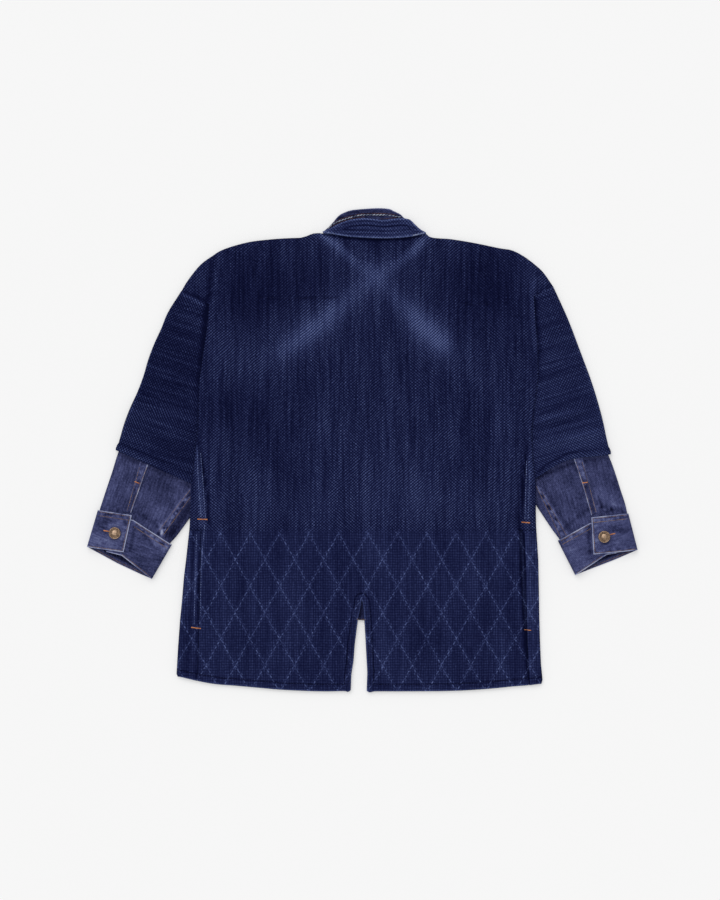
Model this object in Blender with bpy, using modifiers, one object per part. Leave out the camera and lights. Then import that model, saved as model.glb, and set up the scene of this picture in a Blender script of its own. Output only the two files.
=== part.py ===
# Indigo work jacket laid flat with its back up: sashiko cloth body and sleeves,
# denim forearms, buttoned denim cuffs, a band collar and a centre vent.
# X runs across the shoulders, Y towards the collar, Z up. The cloth lies on z = 0.
# Plan points are in millimetres from the middle of the laid-out garment.

from math import cos, hypot, pi, sin, sqrt

import bmesh
import bpy
from mathutils import Vector

MM = 0.001

# Driving sizes, in millimetres
SEAM_GAP = 0.35
BODY_CLOTH = 2.4
FRONT_CLOTH = 2.2
BAND_CLOTH = 3.0
DENIM = 1.3
CUFF_CLOTH = 2.0
COLLAR_CLOTH = 3.2
PLATEAU = 7.6
HEM_LEVEL = 6.1
WAIST = -120.0
CAP_LEVEL = 6.8
SHOULDER_ROUND = 5.5
SHOULDER_REST = 2.55
FOLD_ROUND = 2.6
FOLD_SHELF = 28.0
FOLD_SLOPE = 55.0
DIAMOND_WIDTH = 44.2
DIAMOND_HEIGHT = 79.5
DIAMOND_APEX = (8.25, -124.5)
RIDGE_HALF_WIDTH = 3.2
RIDGE_HEIGHT = 0.8
BUTTON_DIAMETER = 17.7
BUTTON_HEIGHT = 4.4
SLEEVE_HEIGHT = 6.6
SLEEVE_MOUTH_HEIGHT = 8.9
CUFF_HEIGHT = 10.0

# Outline of the shoulders and neck, from the left cap seam to the right one
SHOULDER_LEFT = [(-272, 238.5), (-262, 255), (-244, 277.5), (-226, 291), (-208, 301.5),
                 (-172, 312), (-136, 316.5), (-92, 319.5), (-59, 325)]
NECK = [(-59, 325), (-29, 323.5), (11, 322), (49, 322), (73, 322), (103, 319.5)]
SHOULDER_RIGHT = [(103, 319.5), (134, 316.5), (170, 310.5), (206, 303), (224, 300),
                  (242, 291), (260, 277.5), (272, 266), (286, 246)]
NECK_ENDS = (-63.0, 106.0)

# Where the body's side folds lie over the sleeves, then its side seams, top to bottom
FOLD_LEFT = [(-230, 218), (-232, 189), (-238, 150), (-244, 106), (-246, 36), (-250, 0),
             (-254, -34), (-257, -54), (-259, -102), (-260, WAIST)]
FOLD_RIGHT = [(257, 231), (259, 195), (263, 154), (263, 106), (257, 60), (253, 24),
              (256, -22), (260, -50), (260, -93), (261, WAIST)]
SEAM_LEFT = [(-241.7, WAIST), (-243, -165), (-245, -267), (-246, -300), (-248, -344.5)]
SEAM_RIGHT = [(236, WAIST), (239, -190), (242.7, -262), (246.6, -275), (247.6, -300), (249.6, -352)]
STRIP_EDGE_LEFT = [(-242.2, WAIST), (-243.5, -165), (-245.5, -267), (-246.5, -300), (-248.6, -344.5)]
STRIP_EDGE_RIGHT = [(240.3, WAIST), (247.1, -268), (250.2, -352)]
CREASE_LEFT = ((-235, 216), (-225, 285))
CREASE_RIGHT = ((262, 229), (254, 285))
SIDE_LEFT = [(-260, WAIST), (-265, -165), (-268, -189), (-271, -225), (-274, -255),
             (-277, -297), (-279.5, -336), (-277, -341)]
SIDE_RIGHT = [(261, WAIST), (264, -165), (265, -213), (265.5, -249), (266.5, -285),
              (268, -321), (269.5, -343), (266, -348)]
HEM_LEFT = [(-248, -344.5), (-226, -349), (-190, -352.5), (-154, -357), (-118, -360),
            (-64, -361.5), (-17, -361.5)]
HEM_RIGHT = [(8, -363), (62, -361.5), (134, -361.5), (188, -358.5), (224, -354), (249.6, -352.3)]
VENT = [(-17, -361.5), (-16, -322), (-11, -285), (-9, -262), (-8, -243), (-2, -223.5),
        (4, -243), (6, -262), (8, -285), (10, -322), (8, -363)]

# Height of the body's top face along the side folds, and of the strips' top, by y
FOLD_LEVEL = [(290, 7.2), (218, 9.8), (60, 9.8), (25, 12.7), (-66, 12.7), (-96, 10.6),
              (-113, 7.6), (WAIST, 7.2)]
FOLD_REST_DEPTH = [(290, 1.3), (-66, 1.3), (-96, 2.6), (-113, 4.4), (WAIST, 4.3)]
STRIP_LEVEL = [(WAIST, 7.1), (-200, 6.8), (-300, 6.2), (-350, 6.0)]

# Edges of the sleeves: the shoulder fold outside, the underarm edge hidden inside
SLEEVE_OUT_LEFT = [(-272, 238.1), (-292, 207), (-302, 183), (-313, 159), (-322, 135),
                   (-329, 111), (-338, 87), (-349, 63), (-358, 39), (-365, 15), (-370.5, 0)]
SLEEVE_IN_LEFT = [(-213, 209), (-219, 150), (-225, 80), (-229, 20), (-232, -62)]
SLEEVE_OUT_RIGHT = [(286, 245.2), (304, 207), (314, 183), (323, 159), (332, 135),
                    (341, 111), (349, 87), (356, 63), (362, 39), (367, 15), (373, -6)]
SLEEVE_IN_RIGHT = [(241, 222), (242.5, 150), (240, 80), (235, 20), (237, -56)]
FRONT_CLEARANCE = 1.6

# Rings of the forearms: outer edge, inner edge, height of the underside, height, bow
FOREARM_LEFT = [((-360, 16), (-238, -38), 2.6, 3.7, 0), ((-366, -2), (-237.5, -58), 2.6, 3.7, 0),
                ((-369.5, -12), (-238, -70), 1.2, 4.6, 0), ((-376, -33), (-247, -86), 0, 5.4, 0),
                ((-385, -60), (-262, -106), 0, 5.8, 0), ((-389, -77), (-278, -128), 0.9, 5.7, 0),
                ((-391.2, -91), (-288.8, -140.3), 2.35, 5.3, 0),
                ((-394.3, -100.5), (-294, -149.5), 2.35, 5.3, 0)]
FOREARM_RIGHT = [((363, 12), (242, -36), 2.6, 3.7, 10), ((369, -7), (242, -52), 2.6, 3.7, 12),
                 ((373.5, -18), (243, -64), 1.2, 4.6, 11), ((378, -36), (250, -78), 0, 5.4, 8),
                 ((385, -60), (264, -96), 0, 5.8, 4), ((391.5, -82), (283, -120), 0.9, 5.7, 2),
                 ((394.9, -96.3), (295.9, -134.5), 2.35, 5.3, 0),
                 ((397.6, -106), (300.5, -143.5), 2.35, 5.3, 0)]

# Edges of the cuffs, by the share of the way across from the outer edge
CUFF_LEFT = {"flap_top": [(0, -394, -90), (0.44, -346, -97.5)],
             "flap_low": [(0, -413, -145.5), (0.22, -385, -148), (0.44, -358, -153)],
             "over_top": [(0, -394, -90), (0.46, -343.5, -105), (1, -286, -142)],
             "over_low": [(0, -413, -145.5), (0.5, -358, -157), (1, -316, -191.5)],
             "under_top": [(0, -394, -90), (1, -286, -142)],
             "under_low": [(0, -413, -145.5), (0.4, -368, -170), (0.76, -334, -186),
                           (1, -316, -191.5)]}
CUFF_RIGHT = {"flap_top": [(0, 398, -95.5), (0.5, 343, -101)],
              "flap_low": [(0, 413, -150), (0.27, 385, -153), (0.5, 346, -156.5)],
              "over_top": [(0, 398, -95.5), (0.55, 340, -110), (1, 293, -136)],
              "over_low": [(0, 413, -150), (0.5, 366, -157), (1, 319, -185.5)],
              "under_top": [(0, 398, -95.5), (1, 293, -136)],
              "under_low": [(0, 413, -150), (0.35, 378, -165), (0.74, 344, -178),
                            (1, 319, -185.5)]}
BUTTON_LEFT = (-371, -124.5)
BUTTON_RIGHT = (362, -130)

# Share of the forearm's width that each placket strip covers, at its top and its end
PLACKET_LEFT = ((0.27, 0.36), (0.36, 0.45))
PLACKET_RIGHT = ((0.29, 0.36), (0.41, 0.49))

# Collar: edges of the sashiko band and of the denim collar behind it
BAND_LOW = [(-58, 325), (-29, 319.5), (11, 316.5), (49, 316.5), (73, 317), (99, 316)]
BAND_TOP = [(-60, 331), (-35, 340.5), (-8, 346.5), (22, 347), (61, 347), (73.5, 345),
            (93, 329), (103, 323)]
COLLAR_LOW = [(-57, 328.2), (-29, 325.2), (22, 323.6), (60, 323.6), (90, 323.6)]
COLLAR_TOP = [(-61, 331), (-50, 340), (-35, 352.5), (-20, 360), (2, 363), (25, 363),
              (40, 361.5), (58, 354), (66, 346), (80, 336), (93, 328)]

# Lower runs of the collar band, seam edge and free edge, and the denim front
BAND_RUN_LEFT = ([(-58, 317.6), (-60, 80), (-64.5, -361)], [(-17, 317.6), (-20, 80), (-22, -361)])
BAND_RUN_RIGHT = ([(101, 317.6), (70, 80), (56, -361)], [(60, 317.6), (28, 80), (14, -361)])
DENIM_HEM = -266
DENIM_FRONT = ([(-88, 235), (-96, 0), (-98, -252)], [(122, 235), (98, 0), (90, -256)])

COLOURS = {"sashiko": (0.012, 0.016, 0.060), "skirt": (0.012, 0.018, 0.065),
           "denim": (0.042, 0.050, 0.120), "brass": (0.30, 0.18, 0.09)}


def between(a, b, share):
    return a + (b - a) * share


def ease(share):
    share = min(1.0, max(0.0, share))
    return share * share * (3 - 2 * share)


def level(table, y):
    """Read a table of (y, value), listed from high y to low, at y."""
    if y >= table[0][0]:
        return table[0][1]
    for (y0, v0), (y1, v1) in zip(table, table[1:]):
        if y >= y1:
            return between(v0, v1, (y0 - y) / (y0 - y1))
    return table[-1][1]


def edge_x(points, y):
    """The x of an outline, listed from high y to low, at y."""
    return level([(p[1], p[0]) for p in points], y)


def track(points, soft=True):
    """A function from 0..1 to the point at that share of the length of the points' curve."""
    pts = [Vector((p[0], p[1])) for p in points]
    fine = [pts[0]]
    for i in range(len(pts) - 1):
        p1, p2 = pts[i], pts[i + 1]
        p0 = pts[i - 1] if i else p1 * 2 - p2
        p3 = pts[i + 2] if i + 2 < len(pts) else p2 * 2 - p1
        for step in range(1, 9):
            t = step / 8
            if soft:
                fine.append(0.5 * ((2 * p1) + (p2 - p0) * t
                                   + (2 * p0 - 5 * p1 + 4 * p2 - p3) * t * t
                                   + (3 * p1 - p0 - 3 * p2 + p3) * t * t * t))
            else:
                fine.append(p1.lerp(p2, t))
    lengths = [0.0]
    for a, b in zip(fine, fine[1:]):
        lengths.append(lengths[-1] + (b - a).length)

    def at(share):
        goal = min(1.0, max(0.0, share)) * lengths[-1]
        for k in range(len(fine) - 1):
            if goal <= lengths[k + 1]:
                run = lengths[k + 1] - lengths[k]
                return fine[k].lerp(fine[k + 1], (goal - lengths[k]) / run)
        return fine[-1].copy()

    return at


def joined(first, second, knot):
    """One track from two, the first up to the share knot and the second after it."""
    def at(share):
        if share <= knot:
            return first(share / knot)
        return second((share - knot) / (1 - knot))
    return at


def coons(top, bottom, left, right, across, down):
    """Rows of plan points between four edge tracks, one row for each value of down."""
    tl, tr, bl, br = top(0), top(1), bottom(0), bottom(1)
    rows = []
    for v in down:
        row = []
        for u in across:
            edges = top(u) * (1 - v) + bottom(u) * v + left(v) * (1 - u) + right(v) * u
            corners = (tl * (1 - u) + tr * u) * (1 - v) + (bl * (1 - u) + br * u) * v
            row.append(edges - corners)
        rows.append(row)
    return rows


def spread(count, start=0.0, end=1.0):
    return [between(start, end, i / count) for i in range(count + 1)]


def distance_to(points, x, y):
    """Distance in plan from (x, y) to the open outline through the points."""
    best = 1e9
    for (ax, ay), (bx, by) in zip(points, points[1:]):
        run = (bx - ax) ** 2 + (by - ay) ** 2
        t = 0.0 if run == 0 else ((x - ax) * (bx - ax) + (y - ay) * (by - ay)) / run
        t = min(1.0, max(0.0, t))
        best = min(best, hypot(x - between(ax, bx, t), y - between(ay, by, t)))
    return best


def grid(bm, rows):
    """Faces between rows of 3-D points in millimetres; None leaves a place out."""
    verts = [[None if p is None else bm.verts.new(Vector(p) * MM) for p in row] for row in rows]
    for upper, lower in zip(verts, verts[1:]):
        for j in range(min(len(upper), len(lower)) - 1):
            ring = [upper[j], lower[j], lower[j + 1], upper[j + 1]]
            if all(ring):
                bm.faces.new(ring)
    return verts


def material(name, colour, roughness, metallic=0.0):
    mat = bpy.data.materials.new(name)
    mat.use_nodes = True
    shader = mat.node_tree.nodes["Principled BSDF"]
    shader.inputs["Base Color"].default_value = (*colour, 1)
    shader.inputs["Roughness"].default_value = roughness
    shader.inputs["Metallic"].default_value = metallic
    return mat


def solid(name, bm, mat, thickness, up, relief=None, rest=None):
    """Make a sheet the outer face of a wall. up says which way its first face looks,
    relief raises its outer points, and rest is the least height of its inner ones."""
    bm.faces.ensure_lookup_table()
    bm.normal_update()
    if up is not None and (bm.faces[0].normal.z > 0) != up:
        bmesh.ops.reverse_faces(bm, faces=bm.faces[:])
    bmesh.ops.triangulate(bm, faces=[f for f in bm.faces if len(f.verts) > 4],
                          ngon_method="BEAUTY")
    outer_count = len(bm.verts)
    mesh = bpy.data.meshes.new(name)
    bm.to_mesh(mesh)
    bm.free()
    obj = bpy.data.objects.new(name, mesh)
    parts.objects.link(obj)
    wall = obj.modifiers.new("Wall", "SOLIDIFY")
    wall.thickness = thickness * MM
    wall.offset = -1
    bpy.context.view_layer.update()
    walled = bpy.data.meshes.new_from_object(obj.evaluated_get(bpy.context.evaluated_depsgraph_get()))
    obj.modifiers.clear()
    obj.data = walled
    bpy.data.meshes.remove(mesh)
    walled.name = name
    if relief:
        for vert in walled.vertices[:outer_count]:
            vert.co.z += relief(vert.co.x / MM, vert.co.y / MM, vert.co.z / MM) * MM
    if rest:
        for vert in walled.vertices[outer_count:]:
            vert.co.z = max(vert.co.z, rest(vert.co.x / MM, vert.co.y / MM) * MM)
    walled.materials.clear()
    walled.materials.append(mat)
    return obj


def cut(bm, faces_in, point, normal):
    """Cut the faces that faces_in picks along a line in plan."""
    faces = [f for f in bm.faces if faces_in(f)]
    geom = set(faces)
    for face in faces:
        geom.update(face.verts)
        geom.update(face.edges)
    bmesh.ops.bisect_plane(bm, geom=list(geom), dist=1e-7, plane_co=Vector((*point, 0)) * MM,
                           plane_no=Vector((*normal, 0)).normalized())


def diamond_lines():
    """The lozenge lines: the x where each crosses the apex row, and its slope sign."""
    reach = 9
    return [(DIAMOND_APEX[0] + k * DIAMOND_WIDTH, sign)
            for k in range(-reach, reach + 1) for sign in (-1, 1)]


def diamond_slope(sign):
    return sign * DIAMOND_WIDTH / DIAMOND_HEIGHT


def cut_diamonds(bm, faces_in):
    for x0, sign in diamond_lines():
        for offset in (-RIDGE_HALF_WIDTH, 0.0, RIDGE_HALF_WIDTH):
            cut(bm, faces_in, (x0 + offset, DIAMOND_APEX[1]), (1, -diamond_slope(sign)))


def diamond_relief(x, y):
    """Height of the raised woven lozenges at a plan point."""
    if y > DIAMOND_APEX[1]:
        return 0.0
    nearest = DIAMOND_WIDTH
    for sign in (-1, 1):
        shift = x - DIAMOND_APEX[0] - diamond_slope(sign) * (y - DIAMOND_APEX[1])
        shift = abs((shift + DIAMOND_WIDTH / 2) % DIAMOND_WIDTH - DIAMOND_WIDTH / 2)
        nearest = min(nearest, shift)
    return RIDGE_HEIGHT * max(0.0, 1 - nearest / RIDGE_HALF_WIDTH)


def rounding(depth, radius, distance):
    """How far a rounded edge lies below its panel at a distance from the outline."""
    if distance >= radius:
        return 0.0
    return depth * (1 - sqrt(max(0.0, 1 - (1 - distance / radius) ** 2)))


def back_level(x, y):
    """Top face of the back panel: plateau, shelves over the sleeves, rounded edges."""
    if y < WAIST:
        plateau = between(PLATEAU, HEM_LEVEL, ease((DENIM_HEM - y) / 50))
        inside = min(x - edge_x(SEAM_LEFT, y), edge_x(SEAM_RIGHT, y) - x)
        return between(level(STRIP_LEVEL, y), plateau, ease(inside / 40))
    side = min(x - edge_x(FOLD_LEFT, y), edge_x(FOLD_RIGHT, y) - x)
    shelf = between(level(FOLD_LEVEL, y), PLATEAU, ease((side - FOLD_SHELF) / FOLD_SLOPE))
    if y > 214:
        for (foot, head), sense in ((CREASE_LEFT, 1), (CREASE_RIGHT, -1)):
            crease = between(foot[0], head[0], (y - foot[1]) / (head[1] - foot[1]))
            inside = (x - crease) * sense
            if -60 < inside < 40:
                shelf = between(CAP_LEVEL, shelf, ease((inside + 3.5) / 7))
            elif inside <= -60:
                shelf = CAP_LEVEL
    if x < NECK_ENDS[0] or x > NECK_ENDS[1]:
        shoulder = min(distance_to(SHOULDER_LEFT, x, y), distance_to(SHOULDER_RIGHT, x, y))
        shelf -= rounding(shelf - SHOULDER_REST, SHOULDER_ROUND, shoulder)
    if y < 231:
        fold = min(distance_to(FOLD_LEFT, x, y), distance_to(FOLD_RIGHT, x, y))
        shelf -= rounding(level(FOLD_REST_DEPTH, y), FOLD_ROUND, fold)
    return shelf


def make_back():
    corner = 0.12
    top = track(SHOULDER_LEFT + NECK[1:] + SHOULDER_RIGHT[1:])
    left = joined(track([SHOULDER_LEFT[0], FOLD_LEFT[0]]), track(FOLD_LEFT, soft=False), corner)
    right = joined(track([SHOULDER_RIGHT[-1], FOLD_RIGHT[0]]), track(FOLD_RIGHT, soft=False), corner)
    bottom = track([FOLD_LEFT[-1], FOLD_RIGHT[-1]])
    width = FOLD_RIGHT[-1][0] - FOLD_LEFT[-1][0]
    seam_in = (SEAM_LEFT[0][0] - FOLD_LEFT[-1][0]) / width
    seam_out = (FOLD_RIGHT[-1][0] - SEAM_RIGHT[0][0]) / width
    rim = [0.0, 0.9 / width, 2.8 / width, 5.6 / width]
    across = (rim + [seam_in] + spread(18, 0.075, 0.925)
              + [1 - seam_out] + [1 - r for r in reversed(rim)])
    down = [0.0, 0.0022, 0.0072, 0.0145, 0.04, 0.08, corner] + spread(11, 0.175, 1.0)
    plan = coons(top, bottom, left, right, across, down)
    bm = bmesh.new()
    verts = grid(bm, [[(p.x, p.y, 0) for p in row] for row in plan])

    first = len(rim)
    last = len(across) - 1 - len(rim)
    outline = verts[-1][first:last + 1][::-1]
    lower_edge = SEAM_LEFT[1:] + HEM_LEFT[1:] + VENT[1:] + HEM_RIGHT[1:] + SEAM_RIGHT[-2:0:-1]
    for x, y in lower_edge:
        outline.append(bm.verts.new(Vector((x, y, 0)) * MM))
    bm.faces.new(outline)

    def in_skirt(face):
        return face.calc_center_median().y < WAIST * MM

    def in_cap(face):
        centre = face.calc_center_median() / MM
        return centre.y > 205 and (centre.x < -200 or centre.x > 225)

    cut_diamonds(bm, in_skirt)
    for foot, head in (CREASE_LEFT, CREASE_RIGHT):
        normal = (head[1] - foot[1], foot[0] - head[0])
        for offset in (-3.5, 3.5):
            cut(bm, in_cap, (foot[0] + offset, foot[1]), normal)
    for vert in bm.verts:
        vert.co.z = back_level(vert.co.x / MM, vert.co.y / MM) * MM
    solid("back", bm, sashiko, BODY_CLOTH, True, lambda x, y, z: diamond_relief(x, y),
          lambda x, y: SHOULDER_REST)


def make_front(side, shoulder, seam_corner, sleeve_in, forearm, fold, outline, seam, hem, run):
    """A front panel on the floor; its outer edge turns up and lies beside the back panel."""
    sense = -1 if side == "left" else 1
    corner, waist = 0.14, 0.60
    hidden = [(x - sense * FRONT_CLEARANCE, y - 0.8) for x, y in sleeve_in]
    hidden.append((forearm[4][1][0] - sense * FRONT_CLEARANCE, forearm[4][1][1] - 0.8))
    hidden.append((fold[-1][0] - sense * 0.3, fold[-1][1] + 5))
    drop = hidden[0][1] - WAIST
    knots = [(0, *shoulder[0]), (0.1, *seam_corner)]
    knots += [(between(corner, waist, (hidden[0][1] - y) / drop), x, y) for x, y in hidden]
    knots.append((waist, fold[-1][0], WAIST))
    end = outline[-1][1]
    for x, y in outline[1:]:
        share = between(waist + 0.03, 1.0, (WAIST - 5 - y) / (WAIST - 5 - end))
        knots.append((share, x - sense * level(STRIP_LEVEL, y) / 2, y))
    knots.insert(-len(outline) + 1, (waist + 0.03, outline[0][0] - sense * 3.4, WAIST - 5))
    neck_run = track(run[0])
    seam_line = [neck_run(share) for share in spread(60)]

    def centre(share):
        if share < waist:
            y = between(seam_line[0].y, -100, share / waist)
        else:
            y = between(-100, seam_line[-1].y, (share - waist) / (1 - waist))
        return Vector((edge_x(seam_line, y) + sense * SEAM_GAP, y))

    foot = centre(1.0)
    hem_line = [(x, y + 1.0) for x, y in hem if abs(x) > abs(foot.x) + 8]
    hem_line = [(knots[-1][1], end)] + hem_line + [(foot.x, foot.y)]
    down = sorted({k[0] for k in knots} | {0.05, 0.3})
    plan = coons(track(shoulder + [tuple(centre(0))]), track(hem_line),
                 lambda share: by_share(knots, share), centre, spread(8), down)

    strip_columns = 3
    rows = []
    for v, plan_row in zip(down, plan):
        floor = [(p.x, p.y, 0) for p in plan_row]
        turned = [None] * (strip_columns + 4)
        if v > waist:
            start = floor[0]
            top = level(STRIP_LEVEL, start[1])
            seam_x = edge_x(seam, start[1])
            turned = []
            for k in range(strip_columns):
                x = between(seam_x, start[0], k / strip_columns)
                turned.append((x, start[1], top))
            for angle in (90, 45, 0, -45):
                swing = angle * pi / 180
                turned.append((start[0] + sense * top / 2 * cos(swing), start[1],
                               top / 2 * (1 + sin(swing))))
        rows.append(turned + floor)
    bm = bmesh.new()
    grid(bm, rows)

    def on_strip(face):
        return abs(face.normal.z) > 0.9 and face.calc_center_median().z > 4.6 * MM

    bm.normal_update()
    cut_diamonds(bm, on_strip)
    bm.normal_update()
    lowest = min(bm.faces, key=lambda face: face.calc_center_median().z)
    if lowest.normal.z > 0:
        bmesh.ops.reverse_faces(bm, faces=bm.faces[:])
    solid("front_" + side, bm, skirt, FRONT_CLOTH, None,
          lambda x, y, z: diamond_relief(x, y) if z > 4.6 else 0.0)


def ring(outer, inner, base, height, bow=0.0, swell=0.0):
    """A flattened loop of cloth across a sleeve, from its outer edge over the top."""
    a, b = Vector(outer), Vector(inner)
    along = (b - a).normalized()
    a -= along * swell
    b += along * swell
    height += swell
    width = (b - a).length
    radius = height / 2
    points = []
    for share in spread(7):
        points.append((between(radius, width - radius, share), height))
    for angle in (45, 0, -45):
        swing = angle * pi / 180
        points.append((width - radius + radius * cos(swing), radius + radius * sin(swing)))
    for share in spread(6):
        points.append((between(width - radius, radius, share), 0.0))
    for angle in (-45, 0, 45):
        swing = angle * pi / 180
        points.append((radius - radius * cos(swing), radius + radius * sin(swing)))
    result = []
    for run, z in points:
        place = a + along * run
        arc = sin(pi * min(1.0, max(0.0, run / width))) ** 1.5
        result.append((place.x, place.y + bow * arc, base + z))
    return result + [result[0]]


def tube(name, rings, mat, thickness):
    bm = bmesh.new()
    grid(bm, rings)
    bmesh.ops.remove_doubles(bm, verts=bm.verts[:], dist=1e-6)
    solid(name, bm, mat, thickness, True)


def make_sleeve(side, out_points, in_points, bow):
    out_edge, in_edge = track(out_points), track(in_points)
    rings = []
    for share in (0, 0.1, 0.22, 0.35, 0.48, 0.61, 0.74, 0.86, 0.955, 0.975, 0.99, 1):
        height = between(SLEEVE_HEIGHT, SLEEVE_MOUTH_HEIGHT, ease((share - 0.62) / 0.22))
        swell = 0.8 if 0.97 < share < 0.995 else 0.0
        rings.append(ring(out_edge(share), in_edge(share), 0.0, height,
                          bow * ease((share - 0.4) / 0.6), swell))
    tube("sleeve_" + side, rings, sashiko, FRONT_CLOTH)


def make_forearm(side, stations):
    rings = [ring(outer, inner, base, height, bow) for outer, inner, base, height, bow in stations]
    tube("forearm_" + side, rings, denim, DENIM)


def mixed(first, second, share):
    """A forearm ring between two others."""
    ends = [tuple(Vector(first[i]).lerp(Vector(second[i]), share)) for i in (0, 1)]
    return ends + [between(first[i], second[i], share) for i in (2, 3, 4)]


def make_placket(side, stations, shares):
    """A strip made from the forearm's own top points, moved out."""
    head = mixed(stations[2], stations[3], 0.12)
    tail = mixed(stations[4], stations[5], 0.8)
    used = [head, stations[3], stations[4], tail]
    rows = []
    for k, (outer, inner, base, height, bow) in enumerate(used):
        step = k / (len(used) - 1)
        a, b = Vector(outer), Vector(inner)
        row = []
        for edge in (0, 0.5, 1):
            start = between(shares[0][0], shares[1][0], step)
            end = between(shares[0][1], shares[1][1], step)
            run = between(start, end, edge)
            place = a.lerp(b, run)
            arc = sin(pi * run) ** 1.5
            row.append((place.x, place.y + bow * arc, base + height + SEAM_GAP + DENIM))
        rows.append(row)
    bm = bmesh.new()
    grid(bm, rows)
    solid("placket_" + side, bm, denim, DENIM, True)


def by_share(points, share):
    """The plan point at a share of the width on an edge listed as (share, x, y)."""
    for (s0, x0, y0), (s1, x1, y1) in zip(points, points[1:]):
        if share <= s1:
            t = (share - s0) / (s1 - s0)
            return Vector((between(x0, x1, t), between(y0, y1, t)))
    return Vector(points[-1][1:])


def make_cuff(side, edges):
    """A band that starts under the flap, goes round, and ends as the flap on top."""
    span = Vector(edges["under_top"][0][1:]) - Vector(edges["under_top"][-1][1:])
    radius = CUFF_HEIGHT / 2
    nook = radius / span.length
    lap = CUFF_HEIGHT + CUFF_CLOTH + SEAM_GAP
    flap_end = edges["flap_top"][-1][0]
    stations = [("over", s, CUFF_HEIGHT) for s in spread(5, flap_end - 0.16, 1 - nook)]
    for angle in (60, 30, 0, -30, -60):
        swing = angle * pi / 180
        layer = "over" if angle > 0 else "under"
        stations.append((layer, 1 - nook * (1 - cos(swing)), radius * (1 + sin(swing))))
    stations += [("under", s, 0.0) for s in spread(6, 1 - nook, nook)]
    for angle in (-60, -30, 0, 30, 60):
        swing = angle * pi / 180
        layer = "flap" if angle > 0 else "under"
        stations.append((layer, nook * (1 - cos(swing)), radius * (1 + sin(swing))))
    stations += [("flap", nook, CUFF_HEIGHT), ("flap", flap_end * 0.3, CUFF_HEIGHT + 1.2),
                 ("flap", flap_end - 0.21, lap), ("flap", flap_end - 0.1, lap),
                 ("flap", flap_end, lap)]
    columns = []
    for layer, share, z in stations:
        head = by_share(edges[layer + "_top"], share)
        foot = by_share(edges[layer + "_low"], share)
        columns.append([(*head.lerp(foot, t), z) for t in (0, 0.35, 0.7, 1)])
    bm = bmesh.new()
    grid(bm, columns)
    solid("cuff_" + side, bm, denim, CUFF_CLOTH, True)


def make_button(side, place):
    """A turned tack button with a raised rim, standing on the flap."""
    radius, height = BUTTON_DIAMETER / 2, BUTTON_HEIGHT
    profile = [(0, height), (2.6, height - 0.1), (4.6, height - 0.9), (5.9, height - 0.9),
               (6.8, height - 0.4), (radius - 0.9, height - 0.6), (radius, height - 1.5),
               (radius - 0.7, height - 2.4), (5.2, height - 2.7), (4.6, 0.0), (0, 0.0)]
    mesh = bpy.data.meshes.new("button_" + side)
    mesh.from_pydata([(r * MM, 0, z * MM) for r, z in profile],
                     [(i, i + 1) for i in range(len(profile) - 1)], [])
    obj = bpy.data.objects.new("button_" + side, mesh)
    parts.objects.link(obj)
    turned = obj.modifiers.new("Turn", "SCREW")
    turned.steps = turned.render_steps = 20
    turned.use_merge_vertices = True
    turned.merge_threshold = 0.00001
    top = CUFF_HEIGHT + CUFF_CLOTH + 2 * SEAM_GAP
    obj.location = (place[0] * MM, place[1] * MM, top * MM)
    mesh.materials.append(brass)
    return obj


def make_collar():
    low, top = track(BAND_LOW), track(BAND_TOP)
    rows = []
    for v in spread(5):
        z = between(PLATEAU + SEAM_GAP + COLLAR_CLOTH + 0.2, 7.8, ease(v))
        rows.append([(*low(u).lerp(top(u), v), z) for u in spread(14)])
    bm = bmesh.new()
    grid(bm, rows)
    solid("collar_band", bm, sashiko, COLLAR_CLOTH, True, None,
          lambda x, y: PLATEAU + SEAM_GAP if y < 325.5 else COLLAR_CLOTH + SEAM_GAP)

    low, top = track(COLLAR_LOW), track(COLLAR_TOP)
    rows = []
    for v in (0, 0.35, 0.75, 1):
        z = between(4.4, COLLAR_CLOTH, ease(v))
        rows.append([(*low(u).lerp(top(u), v), z) for u in spread(16)])
    bm = bmesh.new()
    grid(bm, rows)
    solid("collar_inner", bm, denim, COLLAR_CLOTH, True, None, lambda x, y: 0.0)


def make_flat(name, edges, count, mat, thickness, base):
    """A plain sheet between two edges, its underside at the height base."""
    first, second = track(edges[0]), track(edges[1])
    rows = []
    for v in spread(count):
        rows.append([(*first(v).lerp(second(v), u), base) for u in spread(3)])
    bm = bmesh.new()
    grid(bm, rows)
    solid(name, bm, mat, thickness, False)


for old in list(bpy.data.objects):
    bpy.data.objects.remove(old, do_unlink=True)
parts = bpy.data.collections.new("indigo_work_jacket")
bpy.context.scene.collection.children.link(parts)

sashiko = material("Indigo sashiko cotton", COLOURS["sashiko"], 0.9)
skirt = material("Indigo woven cotton", COLOURS["skirt"], 0.9)
denim = material("Washed denim", COLOURS["denim"], 0.85)
brass = material("Antique brass", COLOURS["brass"], 0.4, 1.0)

make_back()
make_front("left", SHOULDER_LEFT, FOLD_LEFT[0], SLEEVE_IN_LEFT, FOREARM_LEFT, FOLD_LEFT,
           SIDE_LEFT, STRIP_EDGE_LEFT, HEM_LEFT, BAND_RUN_LEFT)
make_front("right", SHOULDER_RIGHT[::-1], FOLD_RIGHT[0], SLEEVE_IN_RIGHT, FOREARM_RIGHT,
           FOLD_RIGHT, SIDE_RIGHT, STRIP_EDGE_RIGHT, HEM_RIGHT[::-1], BAND_RUN_RIGHT)
make_flat("front_band_left", BAND_RUN_LEFT, 16, sashiko, BAND_CLOTH, 0.0)
make_flat("front_band_right", BAND_RUN_RIGHT, 16, sashiko, BAND_CLOTH, 0.0)
make_flat("denim_underlayer", DENIM_FRONT, 4, denim, DENIM, BAND_CLOTH + SEAM_GAP)
make_sleeve("left", SLEEVE_OUT_LEFT, SLEEVE_IN_LEFT, 0.0)
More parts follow.
